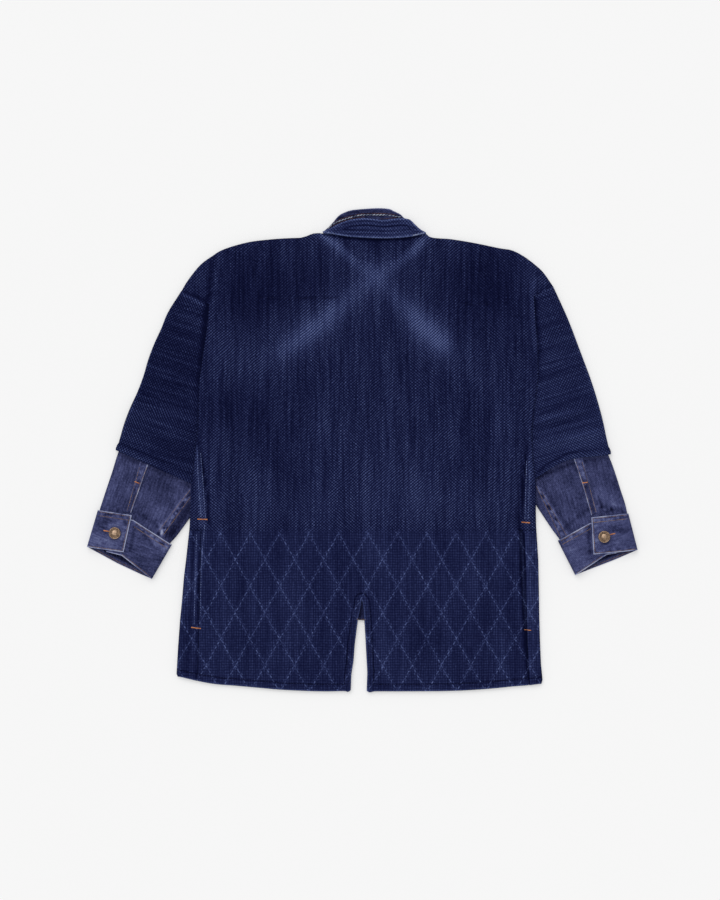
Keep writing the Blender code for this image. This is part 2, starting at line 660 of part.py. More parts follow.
make_sleeve("right", SLEEVE_OUT_RIGHT, SLEEVE_IN_RIGHT, 14.0)
make_forearm("left", FOREARM_LEFT)
make_forearm("right", FOREARM_RIGHT)
make_placket("left", FOREARM_LEFT, PLACKET_LEFT)
make_placket("right", FOREARM_RIGHT, PLACKET_RIGHT)
make_cuff("left", CUFF_LEFT)
make_cuff("right", CUFF_RIGHT)
make_button("left", BUTTON_LEFT)
make_button("right", BUTTON_RIGHT)
make_collar()
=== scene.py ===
# Indigo work jacket laid flat with its back up. Plan points are in millimetres.
from math import atan2, cos, exp, hypot, pi, radians, sin, sqrt

import bmesh
import bpy
import numpy as np
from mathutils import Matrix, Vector
from mathutils.bvhtree import BVHTree


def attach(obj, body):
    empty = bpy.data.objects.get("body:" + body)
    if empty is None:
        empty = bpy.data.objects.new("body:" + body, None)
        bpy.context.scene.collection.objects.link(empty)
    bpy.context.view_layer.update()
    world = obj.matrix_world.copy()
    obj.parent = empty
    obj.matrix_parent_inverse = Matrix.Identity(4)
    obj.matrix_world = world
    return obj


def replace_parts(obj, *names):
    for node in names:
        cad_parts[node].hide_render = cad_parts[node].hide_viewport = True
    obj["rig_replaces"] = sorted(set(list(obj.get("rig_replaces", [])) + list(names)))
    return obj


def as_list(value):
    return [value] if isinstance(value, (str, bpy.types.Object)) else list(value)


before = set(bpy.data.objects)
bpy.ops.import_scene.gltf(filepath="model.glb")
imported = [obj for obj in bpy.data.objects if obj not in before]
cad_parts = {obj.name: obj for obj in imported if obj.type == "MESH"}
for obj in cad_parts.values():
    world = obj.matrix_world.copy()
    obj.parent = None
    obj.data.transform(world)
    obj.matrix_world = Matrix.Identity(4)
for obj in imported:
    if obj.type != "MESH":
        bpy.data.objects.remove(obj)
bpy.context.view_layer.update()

bpy.ops.object.select_all(action="DESELECT")
mm = 0.001
print("stage: frame loaded")


# camera, light and floor: straight above, 1.5 mm of cloth for each pixel
studio = {
    "cameraPlace": (-3.75, 0.0, 3757.0),
    "lens": 100.0,
    "skyLight": 0.66,
    "sunStrength": 1.35,
    "sunTilt": (28.0, -14.0),
    "sunSoftness": 55.0,
    "floorSize": 9.0,
    "floorColour": "#c9c9c9",
    "floorCloud": "#c8c8c8",
    "floorGlow": 0.33,
}


def hexLinear(code):
    parts = [int(code[i:i + 2], 16) / 255 for i in (1, 3, 5)]
    return tuple(p / 12.92 if p <= 0.04045 else ((p + 0.055) / 1.055) ** 2.4 for p in parts) + (1.0,)


# settings that many nodes share
multiply, add, subtract = {"operation": "MULTIPLY"}, {"operation": "ADD"}, {"operation": "SUBTRACT"}
multiplyAdd = {"operation": "MULTIPLY_ADD"}
smooth = {"interpolation_type": "SMOOTHSTEP"}


# adds one node with its settings, socket values and links; a linked node gives its first output
def addNode(tree, kind, settings=None, values=None, links=None):
    made = tree.nodes.new("ShaderNode" + kind)
    for name, value in (settings or {}).items():
        setattr(made, name, value)
    for socket, value in (values or {}).items():
        made.inputs[socket].default_value = value
    for socket, source in (links or {}).items():
        start = source.outputs[0] if isinstance(source, bpy.types.Node) else source
        tree.links.new(start, made.inputs[socket])
    return made


def newMaterial(name):
    made = bpy.data.materials.new(name)
    made.use_nodes = True
    return made, made.node_tree, made.node_tree.nodes["Principled BSDF"]


def setStops(ramp, stops):
    elements = ramp.color_ramp.elements
    while len(elements) > len(stops):
        elements.remove(elements[-1])
    while len(elements) < len(stops):
        elements.new(1.0)
    for element, (place, code) in zip(elements, stops):
        element.position = place
        element.color = hexLinear(code)


scene = bpy.context.scene
scene.view_settings.view_transform = "Standard"
cameraData = bpy.data.cameras.new("camera")
cameraData.lens = studio["lens"]
cameraData.clip_end = 50
camera = bpy.data.objects.new("camera", cameraData)
camera.location = Vector(studio["cameraPlace"]) * mm
scene.collection.objects.link(camera)
scene.camera = camera

sunData = bpy.data.lights.new("softSun", "SUN")
sunData.energy = studio["sunStrength"]
sunData.angle = radians(studio["sunSoftness"])
sun = bpy.data.objects.new("softSun", sunData)
sun.rotation_euler = (-radians(studio["sunTilt"][0]), radians(studio["sunTilt"][1]), 0)
scene.collection.objects.link(sun)

world = bpy.data.worlds.new("studioSky")
scene.world = world
world.use_nodes = True
world.node_tree.nodes["Background"].inputs["Color"].default_value = (1, 1, 1, 1)
world.node_tree.nodes["Background"].inputs["Strength"].default_value = studio["skyLight"]

bpy.ops.mesh.primitive_plane_add(size=studio["floorSize"], location=(0, 0, -0.0002))
floor = bpy.context.object
floor.name = "studioFloor"
# matt acrylic light table, cast; lit from below, so that the shadows on it stay faint
paper, paperTree, paperShader = newMaterial("matt acrylic light table, cast")
paperGrain = addNode(paperTree, "TexNoise", values={"Scale": 3.0, "Detail": 1.0},
                     links={"Vector": addNode(paperTree, "TexCoord").outputs["Object"]})
paperTone = addNode(paperTree, "ValToRGB", links={"Fac": paperGrain})
setStops(paperTone, [(0.0, studio["floorColour"]), (1.0, studio["floorCloud"])])
paperTree.links.new(paperTone.outputs[0], paperShader.inputs["Base Color"])
paperShader.inputs["Roughness"].default_value = 1.0
paperShader.inputs["Specular IOR Level"].default_value = 0.0
paperShader.inputs["Emission Color"].default_value = (1, 1, 1, 1)
paperShader.inputs["Emission Strength"].default_value = studio["floorGlow"]
floor.data.materials.append(paper)
bpy.ops.object.select_all(action="DESELECT")
print("stage: studio ready")


# shared shapes
def between(a, b, share):
    return a + (b - a) * share


def ease(share):
    share = min(1.0, max(0.0, share))
    return share * share * (3 - 2 * share)


# reads a table of (y, value), listed from high y to low
def level(table, y):
    if y >= table[0][0]:
        return table[0][1]
    for (y0, v0), (y1, v1) in zip(table, table[1:]):
        if y >= y1:
            return between(v0, v1, (y0 - y) / (y0 - y1))
    return table[-1][1]


def edgeX(points, y):
    return level([(p[1], p[0]) for p in points], y)


# a function from 0..1 to the point at that share of a curve through the points
def track(points, soft=True):
    pts = [Vector(p) for p in points]
    fine = [pts[0]]
    for i in range(len(pts) - 1):
        p1, p2 = pts[i], pts[i + 1]
        p0 = pts[i - 1] if i else p1 * 2 - p2
        p3 = pts[i + 2] if i + 2 < len(pts) else p2 * 2 - p1
        for step in range(1, 9):
            t = step / 8
            if soft:
                fine.append(0.5 * ((2 * p1) + (p2 - p0) * t
                                   + (2 * p0 - 5 * p1 + 4 * p2 - p3) * t * t
                                   + (3 * p1 - p0 - 3 * p2 + p3) * t * t * t))
            else:
                fine.append(p1.lerp(p2, t))
    lengths = [0.0]
    for a, b in zip(fine, fine[1:]):
        lengths.append(lengths[-1] + (b - a).length)

    def at(share):
        goal = min(1.0, max(0.0, share)) * lengths[-1]
        for k in range(len(fine) - 1):
            if goal <= lengths[k + 1]:
                run = max(1e-9, lengths[k + 1] - lengths[k])
                return fine[k].lerp(fine[k + 1], (goal - lengths[k]) / run)
        return fine[-1].copy()

    at.length = lengths[-1]
    return at


def joined(first, second, knot):
    def at(share):
        if share <= knot:
            return first(share / knot)
        return second((share - knot) / (1 - knot))
    return at


# rows of plan points between four edge tracks
def coons(top, bottom, left, right, across, down):
    tl, tr, bl, br = top(0), top(1), bottom(0), bottom(1)
    tops, bottoms = [top(u) for u in across], [bottom(u) for u in across]
    rows = []
    for v in down:
        row = []
        leftPoint, rightPoint = left(v), right(v)
        for u, a, b in zip(across, tops, bottoms):
            edges = a * (1 - v) + b * v + leftPoint * (1 - u) + rightPoint * u
            corners = (tl * (1 - u) + tr * u) * (1 - v) + (bl * (1 - u) + br * u) * v
            row.append(edges - corners)
        rows.append(row)
    return rows


def spread(count, start=0.0, end=1.0):
    return [between(start, end, i / count) for i in range(count + 1)]


def distanceTo(points, x, y):
    best = 1e9
    for (ax, ay), (bx, by) in zip(points, points[1:]):
        run = (bx - ax) ** 2 + (by - ay) ** 2
        t = 0.0 if run == 0 else ((x - ax) * (bx - ax) + (y - ay) * (by - ay)) / run
        t = min(1.0, max(0.0, t))
        best = min(best, hypot(x - between(ax, bx, t), y - between(ay, by, t)))
    return best


# soft ridges and troughs: each is (points, half width, height), a trough below zero
def creaseLift(creases, x, y):
    lift = 0.0
    for points, width, height in creases:
        near = distanceTo(points, x, y) / width
        if near < 3:
            lift += height * exp(-near * near)
    return lift


# steps round a rolled edge, as shares of its radius outwards and upwards
def roundSteps(*angles):
    swings = [angle * pi / 180 for angle in angles]
    return [(cos(swing), sin(swing)) for swing in swings]


def gridFaces(bm, rows):
    verts = [[None if p is None else bm.verts.new(Vector(p) * mm) for p in row] for row in rows]
    for upper, lower in zip(verts, verts[1:]):
        for j in range(min(len(upper), len(lower)) - 1):
            corners = [upper[j], lower[j], lower[j + 1], upper[j + 1]]
            if all(corners):
                bm.faces.new(corners)
    return verts


# how far each place is from a segment, and the share along it of the nearest point
def segmentReach(start, end, places):
    (ax, ay), (bx, by) = start, end
    xs, ys = places[:, 0], places[:, 1]
    run = max(1e-9, (bx - ax) ** 2 + (by - ay) ** 2)
    t = np.clip(((xs - ax) * (bx - ax) + (ys - ay) * (by - ay)) / run, 0, 1)
    return np.hypot(xs - (ax + (bx - ax) * t), ys - (ay + (by - ay) * t)), t


# strokes: (points, half width or widths, strength at each point); gives one value a vertex
def strokeValues(strokes, places):
    total = np.zeros(len(places))
    for points, width, strengths in strokes:
        widths = width if isinstance(width, list) else [width] * len(points)
        strengths = strengths if isinstance(strengths, list) else [strengths] * len(points)
        best = np.full(len(places), 1e9)
        force = np.zeros(len(places))
        wide = np.ones(len(places))
        for k in range(len(points) - 1):
            away, t = segmentReach(points[k], points[k + 1], places)
            closer = away < best
            best = np.where(closer, away, best)
            force = np.where(closer, between(strengths[k], strengths[k + 1], t), force)
            wide = np.where(closer, between(widths[k], widths[k + 1], t), wide)
        total += force * np.exp(-(best / wide) ** 2)
    return total


def edgeValues(outlines, places):
    best = np.full(len(places), 1e9)
    for points in outlines:
        for start, end in zip(points, points[1:]):
            best = np.minimum(best, segmentReach(start, end, places)[0])
    return best


noEdge = 500.0  # the distance from a worn edge that a piece without one is given


# a finished piece: the sheet gets its thickness inwards, relief on its outer face only
def finishPiece(name, bm, finish, thickness, up=None, relief=None, rest=None, nodes=(),
                strokes=(), edges=(), puckers=(), inside=None):
    bm.faces.ensure_lookup_table()
    bm.normal_update()
    if up is not None and (bm.faces[0].normal.z > 0) != up:
        bmesh.ops.reverse_faces(bm, faces=bm.faces[:])
    outerCount = len(bm.verts)
    mesh = bpy.data.meshes.new(name)
    bm.to_mesh(mesh)
    bm.free()
    piece = bpy.data.objects.new(name, mesh)
    scene.collection.objects.link(piece)
    mesh.materials.append(finish)
    if inside:
        mesh.materials.append(inside)
    bpy.ops.object.select_all(action="DESELECT")
    piece.select_set(True)
    bpy.context.view_layer.objects.active = piece
    wall = piece.modifiers.new("wall", "SOLIDIFY")
    wall.thickness = thickness * mm
    wall.offset = -1
    wall.material_offset = 1 if inside else 0
    bpy.ops.object.modifier_apply(modifier="wall")
    mesh = piece.data
    if relief:
        for vert in mesh.vertices[:outerCount]:
            vert.co.z += relief(vert.co.x / mm, vert.co.y / mm, vert.co.z / mm) * mm
    if rest:
        for vert in mesh.vertices[outerCount:]:
            vert.co.z = max(vert.co.z, rest(vert.co.x / mm, vert.co.y / mm) * mm)
    places = np.empty(len(mesh.vertices) * 3)
    mesh.vertices.foreach_get("co", places)
    places = places.reshape(-1, 3) / mm
    # the strokes give wear and painted light and shade; the puckers mark where seams draw the cloth up
    layers = {"wearAndShading": strokeValues(strokes, places), "pucker": strokeValues(puckers, places)}
    if "edge" not in mesh.attributes:
        layers["edge"] = edgeValues(edges, places) if edges else np.full(len(places), noEdge)
    for label, values in layers.items():
        layer = mesh.attributes.new(label, "FLOAT", "POINT")
        layer.data.foreach_set("value", values.astype(np.float32))
    bpy.ops.object.shade_smooth_by_angle(angle=radians(50))
    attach(piece, "root")
    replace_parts(piece, *nodes)
    return piece


# finishes: tones from the darkest dye to the most worn thread, spaced by how light they look
indigoStops = [(0.0, "#060924"), (0.09, "#0d1131"), (0.2, "#161b3b"), (0.29, "#1c2245"), (0.44, "#2a3157"),
               (0.6, "#353f66"), (0.8, "#47527e"), (1.0, "#5b6793")]
denimStops = [(0.04, "#0c0e26"), (0.14, "#191c3a"), (0.26, "#282c4c"), (0.335, "#33375a"), (0.415, "#3e4268"),
              (0.51, "#4b5078"), (0.74, "#6a7196"), (1.0, "#979db8")]


# the tone picks a colour of the ramp, the height raises the surface, and the rest is set as given
def dress(tree, shader, tone, stops, height, strength, depth, sheen):
    ramp = addNode(tree, "ValToRGB", links={"Fac": tone})
    setStops(ramp, stops)
    tree.links.new(ramp.outputs[0], shader.inputs["Base Color"])
    bump = addNode(tree, "Bump", {}, {"Strength": strength, "Distance": depth}, {"Height": height})
    tree.links.new(bump.outputs[0], shader.inputs["Normal"])
    for socket, value in sheen.items():
        shader.inputs[socket].default_value = value


# adds to a tone each pattern's swing about its middle, by its weight; calm weakens the swing
def mottled(tree, tone, patterns, calm=None):
    for pattern, weight in patterns:
        swing = addNode(tree, "Math", subtract, {1: 0.5}, {0: pattern})
        if calm:
            swing = addNode(tree, "Math", multiply, links={0: swing, 1: calm})
        tone = addNode(tree, "Math", multiplyAdd, {1: weight}, {0: swing, 2: tone})
    return tone


# a cloth's own coordinates, turned and a little uneven as hand-fed yarn is
def clothPlace(tree, turn, unevenness):
    turned = addNode(tree, "Mapping", values={"Rotation": (0, 0, radians(turn))},
                     links={"Vector": addNode(tree, "TexCoord").outputs["Object"]})
    wander = addNode(tree, "TexNoise", values={"Scale": 55.0, "Detail": 1.5}, links={"Vector": turned})
    centred = addNode(tree, "VectorMath", subtract, {1: (0.5, 0.5, 0.5)}, {0: wander.outputs["Color"]})
    shift = addNode(tree, "VectorMath", {"operation": "SCALE"}, {"Scale": unevenness}, {0: centred})
    bent = addNode(tree, "VectorMath", add, links={0: turned, 1: shift})
    return turned, addNode(tree, "SeparateXYZ", links={0: bent})


# noise drawn out along the yarn, as slubs are
def slubs(tree, place, wide, long, detail):
    drawn = addNode(tree, "VectorMath", multiply, {1: (1 / wide, 1 / long, 30.0)}, {0: place})
    return addNode(tree, "TexNoise", values={"Scale": 1.0, "Detail": detail, "Roughness": 0.6},
                   links={"Vector": drawn})


# a wave along one axis: cosine of the distance over the period
def yarnWave(tree, distance, period, shift=0.0):
    angle = addNode(tree, "Math", multiplyAdd, {1: 2 * pi / period, 2: shift}, {0: distance})
    return addNode(tree, "Math", {"operation": "COSINE"}, links={0: angle})


weave = {
    "grainAcross": 0.0050,   # rice grains stand 2.5 mm apart across and 2.2 mm along, staggered
    "grainAlong": 0.0044,
    "plainPeriod": 0.0036,   # plain weave of the skirt, drawn twice as coarse as it is, to show
    "waist": -0.1197,
    "diamondWidth": 0.0442,
    "diamondHeight": 0.0795,
    "diamondApex": (0.00825, -0.1245),
    "dashLength": 0.0074,
    "coreReach": (0.0014, 0.0004),   # from the middle thread's own line: where it is gone, where full
    "flankReach": (0.0013, 0.0003),  # the same for the thread on each side of it
    "flankAway": 0.0026,
}


# the raised lozenge threads: dashed floats in two crossing families of lines
def diamondThreads(tree, xyz):
    slope = weave["diamondWidth"] / weave["diamondHeight"]
    square = sqrt(1 + slope * slope)
    apexX, apexY = weave["diamondApex"]
    coreFar, coreNear = (reach * square for reach in weave["coreReach"])
    flankFar, flankNear = (reach * square for reach in weave["flankReach"])
    families = []
    for sign in (-1, 1):
        lean = addNode(tree, "Math", multiplyAdd, {1: -sign * slope, 2: sign * slope * apexY - apexX},
                       {0: xyz.outputs["Y"]})
        across = addNode(tree, "Math", add, links={0: lean, 1: xyz.outputs["X"]})
        away = addNode(tree, "Math", {"operation": "PINGPONG"}, {1: weave["diamondWidth"] / 2}, {0: across})
        core = addNode(tree, "MapRange", smooth, {"From Min": coreFar, "From Max": coreNear},
                       {"Value": away})
        side = addNode(tree, "Math", subtract, {1: weave["flankAway"] * square}, {0: away})
        sideAway = addNode(tree, "Math", {"operation": "ABSOLUTE"}, links={0: side})
        flank = addNode(tree, "MapRange", smooth, {"From Min": flankFar, "From Max": flankNear},
                        {"Value": sideAway})
        dash = yarnWave(tree, xyz.outputs["Y"], weave["dashLength"], 0.9 * sign)
        gap = addNode(tree, "MapRange", smooth,
                      {"From Min": -0.85, "From Max": 0.0, "To Min": 0.2}, {"Value": dash})
        counter = addNode(tree, "MapRange", smooth, {"From Min": 0.2, "From Max": -0.7}, {"Value": dash})
        coreDash = addNode(tree, "Math", multiply, links={0: core, 1: gap})
        flankDash = addNode(tree, "Math", multiply, links={0: flank, 1: counter})
        flankSoft = addNode(tree, "Math", multiplyAdd, {1: 0.45}, {0: flankDash, 2: coreDash})
        families.append(flankSoft)
    return addNode(tree, "Math", {"operation": "MAXIMUM"}, links={0: families[0], 1: families[1]})


# sashiko-ori: double-woven cotton of thick yarn, indigo dyed by hand; gives raised staggered
# grains, long slubs where the yarn took less dye, and a chalky blue where it is worn
def indigoCloth(name, turn=0.0, skirt=False, tone=0.0, contrast=1.0, lean=0.45):
    made, tree, shader = newMaterial(name)
    turned, xyz = clothPlace(tree, turn, 0.0030)
    lineAcross = yarnWave(tree, xyz.outputs["X"], weave["grainAcross"])
    lineAlong = yarnWave(tree, xyz.outputs["Y"], weave["grainAlong"])
    dots = addNode(tree, "Math", multiply, links={0: lineAcross, 1: lineAlong})
    sideAcross = yarnWave(tree, xyz.outputs["X"], weave["grainAcross"], -pi / 2)
    sideAlong = yarnWave(tree, xyz.outputs["Y"], weave["grainAlong"], -pi / 2)
    slanted = addNode(tree, "Math", multiply, links={0: sideAcross, 1: sideAlong})
    patchy = addNode(tree, "TexNoise", values={"Scale": 13.0, "Detail": 2.0}, links={"Vector": turned})
    leaning = addNode(tree, "MapRange", {},
                      {"From Min": 0.4, "From Max": 0.6, "To Min": -0.4 * lean, "To Max": lean},
                      {"Value": patchy})
    grain = addNode(tree, "Math", multiplyAdd, links={0: slanted, 1: leaning, 2: dots})
    fine = slubs(tree, turned, 0.0036, 0.085, 3.0)
    broad = slubs(tree, turned, 0.024, 0.24, 2.0)
    speck = addNode(tree, "TexNoise", values={"Scale": 360.0, "Detail": 2.0}, links={"Vector": turned})
    wearAndShading = addNode(tree, "Attribute", {"attribute_name": "wearAndShading"})
    edge = addNode(tree, "Attribute", {"attribute_name": "edge"})
    calm = None
    if skirt:
        plainAcross = yarnWave(tree, xyz.outputs["X"], weave["plainPeriod"])
        plainAlong = yarnWave(tree, xyz.outputs["Y"], weave["plainPeriod"] * 1.1)
        plainSum = addNode(tree, "Math", add, links={0: plainAcross, 1: plainAlong})
        plain = addNode(tree, "Math", multiply, {1: 0.18}, {0: plainSum})
        isSkirt = addNode(tree, "MapRange", smooth,
                          {"From Min": weave["waist"] + 0.006, "From Max": weave["waist"] - 0.011},
                          {"Value": xyz.outputs["Y"]})
        cloth = addNode(tree, "Mix", {"data_type": "FLOAT"}, links={0: isSkirt, 2: grain, 3: plain})
        threads = addNode(tree, "Math", multiply, links={0: diamondThreads(tree, xyz), 1: isSkirt})
        # the plain weave of the skirt hides its slubs
        calm = addNode(tree, "Math", multiplyAdd, {1: -0.35, 2: 1.0}, {0: isSkirt})
    else:
        cloth = grain

    # each yarn's own strength makes the grains uneven, and the slubs carry the strongest grains
    uneven = addNode(tree, "MapRange", {}, {"From Min": 0.3, "From Max": 0.7, "To Min": 0.45, "To Max": 1.55},
                     {"Value": speck})
    vigour = addNode(tree, "MapRange", {},
                     {"From Min": 0.32, "From Max": 0.68, "To Min": 0.55, "To Max": 1.45}, {"Value": fine})
    bothUneven = addNode(tree, "Math", multiply, links={0: uneven, 1: vigour})
    dulled = addNode(tree, "MapRange", {}, {"From Min": -0.15, "From Max": 0.0, "To Min": 0.45},
                     {"Value": wearAndShading.outputs["Fac"]})  # the grains hardly show under painted shade
    strongest = addNode(tree, "Math", multiply, links={0: bothUneven, 1: dulled})
    clothUneven = addNode(tree, "Math", multiply, links={0: cloth, 1: strongest})
    light = addNode(tree, "Math", multiplyAdd, {1: 0.35 * contrast, 2: 0.19 + tone}, {0: clothUneven})
    light = mottled(tree, light, [(fine, 0.53 * contrast)], calm)
    light = mottled(tree, light, [(broad, 0.22), (patchy, 0.16), (speck, 0.36 * contrast)])

    # the strokes of wear and of painted light and shade act on the raised grains more than on the hollows
    grainShare = addNode(tree, "Math", multiplyAdd, {1: 0.4, 2: 1.0}, {0: clothUneven})
    worn = addNode(tree, "Math", multiply, links={0: wearAndShading.outputs["Fac"], 1: grainShare})
    light = addNode(tree, "Math", add, links={0: light, 1: worn})
    height = addNode(tree, "Math", multiplyAdd, {1: 0.5, 2: 0.5}, {0: clothUneven})
    if skirt:
        lifted = addNode(tree, "Math", multiplyAdd, {1: 0.035}, {0: isSkirt, 2: light})
        streak = addNode(tree, "MapRange", {},
                         {"From Min": 0.35, "From Max": 0.66, "To Min": 0.35, "To Max": 1.3},
                         {"Value": speck})
        shown = addNode(tree, "Math", multiply, links={0: threads, 1: streak})
        light = addNode(tree, "Math", multiplyAdd, {1: 0.46}, {0: shown, 2: lifted})
        height = addNode(tree, "Math", multiplyAdd, {1: 0.9}, {0: shown, 2: height})
    rim = addNode(tree, "MapRange", smooth,
                  {"From Min": 3.0, "From Max": 1.0, "To Max": 0.26}, {"Value": edge.outputs["Fac"]})
    light = addNode(tree, "Math", add, links={0: light, 1: rim})
    # a line of painted shade in the groove along the hem's stitching, 10 mm in from the free edge
    hemAway = addNode(tree, "Math", subtract, {1: 10.2}, {0: edge.outputs["Fac"]})
    hemNear = addNode(tree, "Math", {"operation": "ABSOLUTE"}, links={0: hemAway})
    hemLine = addNode(tree, "MapRange", smooth,
                      {"From Min": 1.8, "From Max": 0.5, "To Max": -0.19}, {"Value": hemNear})
    light = addNode(tree, "Math", add, links={0: light, 1: hemLine})
    height = addNode(tree, "Math", multiplyAdd, {1: 0.5}, {0: fine, 2: height})
    dress(tree, shader, light, indigoStops, height, 0.7, 0.0006,
          {"Roughness": 0.92, "IOR": 1.53, "Specular IOR Level": 0.03})  # dry cotton hardly shines
    return made


# denim: warp-faced cotton twill, indigo warp over pale weft, stone washed; gives a mottled
# violet blue with fine diagonal ribs, puckered seams and chalk-white rubbed edges
def denimCloth(name, turn=0.0, tone=0.0, wear=0.6, hemBand=0.0):
    made, tree, shader = newMaterial(name)
    turned, xyz = clothPlace(tree, turn, 0.0020)
    diagonal = addNode(tree, "Math", multiplyAdd, {1: 0.62}, {0: xyz.outputs["Y"], 2: xyz.outputs["X"]})
    twill = yarnWave(tree, diagonal, 0.0026)  # twill ribs are near 1 mm, drawn coarser to show
    warp = slubs(tree, turned, 0.0028, 0.022, 2.0)
    wash = addNode(tree, "TexNoise", values={"Scale": 380.0, "Detail": 3.0, "Roughness": 0.7},
                   links={"Vector": turned})
    bloom = addNode(tree, "TexNoise", values={"Scale": 42.0, "Detail": 2.0}, links={"Vector": turned})
    wearAndShading = addNode(tree, "Attribute", {"attribute_name": "wearAndShading"})
    edge = addNode(tree, "Attribute", {"attribute_name": "edge"})
    pucker = addNode(tree, "Attribute", {"attribute_name": "pucker"})
    light = addNode(tree, "Math", multiplyAdd, {1: 0.055, 2: 0.335 + tone}, {0: twill})
    light = mottled(tree, light, [(warp, 0.4), (wash, 0.62), (bloom, 0.34)])
    light = addNode(tree, "Math", add, links={0: light, 1: wearAndShading.outputs["Fac"]})

    # puckers: pale and dark blotches, some 5 mm apart, where a seam draws the cloth up; the blotches are
    # painted highlight and shade on the puckers, and they also raise them
    blotch = addNode(tree, "TexNoise", values={"Scale": 150.0, "Detail": 1.0}, links={"Vector": turned})
    blotchShare = addNode(tree, "MapRange", {}, {"From Min": 0.36, "From Max": 0.64, "To Min": -0.7},
                          {"Value": blotch})
    drawn = addNode(tree, "Math", multiply, links={0: blotchShare, 1: pucker.outputs["Fac"]})
    light = addNode(tree, "Math", add, links={0: light, 1: drawn})
    rubbed = addNode(tree, "MapRange", smooth,
                     {"From Min": 1.9, "From Max": 0.7, "To Max": wear}, {"Value": edge.outputs["Fac"]})
    patch = addNode(tree, "MapRange", {}, {"From Min": 0.3, "From Max": 0.6, "To Min": 0.5, "To Max": 1.05},
                    {"Value": bloom})
    worn = addNode(tree, "Math", multiply, links={0: rubbed, 1: patch})
    light = addNode(tree, "Math", add, links={0: light, 1: worn})
    if hemBand:  # the turned hem takes more light than the face behind it
        band = addNode(tree, "MapRange", smooth,
                       {"From Min": 7.5, "From Max": 5.0, "To Max": hemBand}, {"Value": edge.outputs["Fac"]})
        light = addNode(tree, "Math", add, links={0: light, 1: band})
    puffed = addNode(tree, "Math", multiplyAdd, {1: 4.0}, {0: drawn, 2: wash})
    height = addNode(tree, "Math", multiplyAdd, {1: 0.25}, {0: twill, 2: puffed})
    dress(tree, shader, light, denimStops, height, 0.6, 0.0006,
          {"Roughness": 0.88, "IOR": 1.53, "Specular IOR Level": 0.05})  # washed cotton hardly shines
    return made


# cotton sewing thread, twisted and dyed; a soft sheen on each stitch
def threadFinish(name, dark, pale):
    made, tree, shader = newMaterial(name)
    place = addNode(tree, "TexCoord").outputs["Object"]
    tint = addNode(tree, "TexNoise", values={"Scale": 160.0, "Detail": 2.0}, links={"Vector": place})
    spreadOut = addNode(tree, "MapRange", {}, {"From Min": 0.36, "From Max": 0.64}, {"Value": tint})
    twist = addNode(tree, "TexNoise", values={"Scale": 1400.0}, links={"Vector": place})
    dress(tree, shader, spreadOut, [(0.0, dark), (1.0, pale)], twist, 0.4, 0.0003,
          {"Roughness": 0.8, "IOR": 1.53, "Specular IOR Level": 0.1})
    return made


# antique brass: stamped, darkened and rubbed bright on the high places
def agedBrass(name, low, high):
    made, tree, shader = newMaterial(name)
    place = addNode(tree, "TexCoord").outputs["Object"]
    split = addNode(tree, "SeparateXYZ", links={0: place})
    rise = addNode(tree, "MapRange", {}, {"From Min": low, "From Max": high}, {"Value": split.outputs["Z"]})
    tarnish = addNode(tree, "TexNoise", values={"Scale": 420.0, "Detail": 3.0}, links={"Vector": place})
    light = mottled(tree, rise, [(tarnish, 1.3)])
    dress(tree, shader, light, [(0.0, "#2e2620"), (0.45, "#7d6857"), (1.0, "#c4a88e")], tarnish, 0.4, 0.0002,
          {"Metallic": 1.0})
    rough = addNode(tree, "MapRange", {}, {"From Min": 0.3, "From Max": 0.7, "To Min": 0.28, "To Max": 0.5},
                    {"Value": tarnish})
    tree.links.new(rough.outputs[0], shader.inputs["Roughness"])
    return made


bodyCloth = indigoCloth("indigo sashiko cotton, double woven", skirt=True)
sleeveClothLeft = indigoCloth("indigo sashiko cotton, left sleeve", turn=107, tone=-0.07, contrast=0.85)
sleeveClothRight = indigoCloth("indigo sashiko cotton, right sleeve", turn=73, tone=0.035, contrast=0.85)
collarCloth = indigoCloth("indigo sashiko cotton, collar band", turn=90, tone=0.19, contrast=0.95, lean=0.6)
forearmDenimLeft = denimCloth("washed denim, left forearm", turn=17)
forearmDenimRight = denimCloth("washed denim, right forearm", turn=-17, tone=0.01)
cuffDenimLeft = denimCloth("washed denim, left cuff", turn=107, tone=0.02)
cuffDenimRight = denimCloth("washed denim, right cuff", turn=73, tone=0.04)
# the inner face is darkened as painted shade, for it lies in the cuff's opening; the hem band is a painted
# highlight
insideDenim = denimCloth("inner face of the denim, darkened as painted shade", turn=17, tone=-0.24, wear=0.1,
                         hemBand=0.24)
collarDenim = denimCloth("dark denim, inner collar", turn=90, tone=-0.13, wear=0.3)
# the front in the vent is darkened as painted shade, for it lies under the back
frontDenim = denimCloth("denim front inside the vent, darkened as painted shade", turn=0, tone=-0.2, wear=0.05)
indigoThread = threadFinish("indigo cotton thread", "#0c0e26", "#232951")
paleThread = threadFinish("worn pale cotton thread", "#35406c", "#6d7aa6")
goldThread = threadFinish("golden brown cotton thread", "#51463f", "#9c7c54")
orangeThread = threadFinish("orange cotton thread", "#a86a44", "#d08e5e")
brownThread = threadFinish("dark brown cotton thread", "#2a1714", "#6b4a3e")
creamThread = threadFinish("cream cotton cord", "#46506a", "#a5acbc")
print("stage: finishes ready")


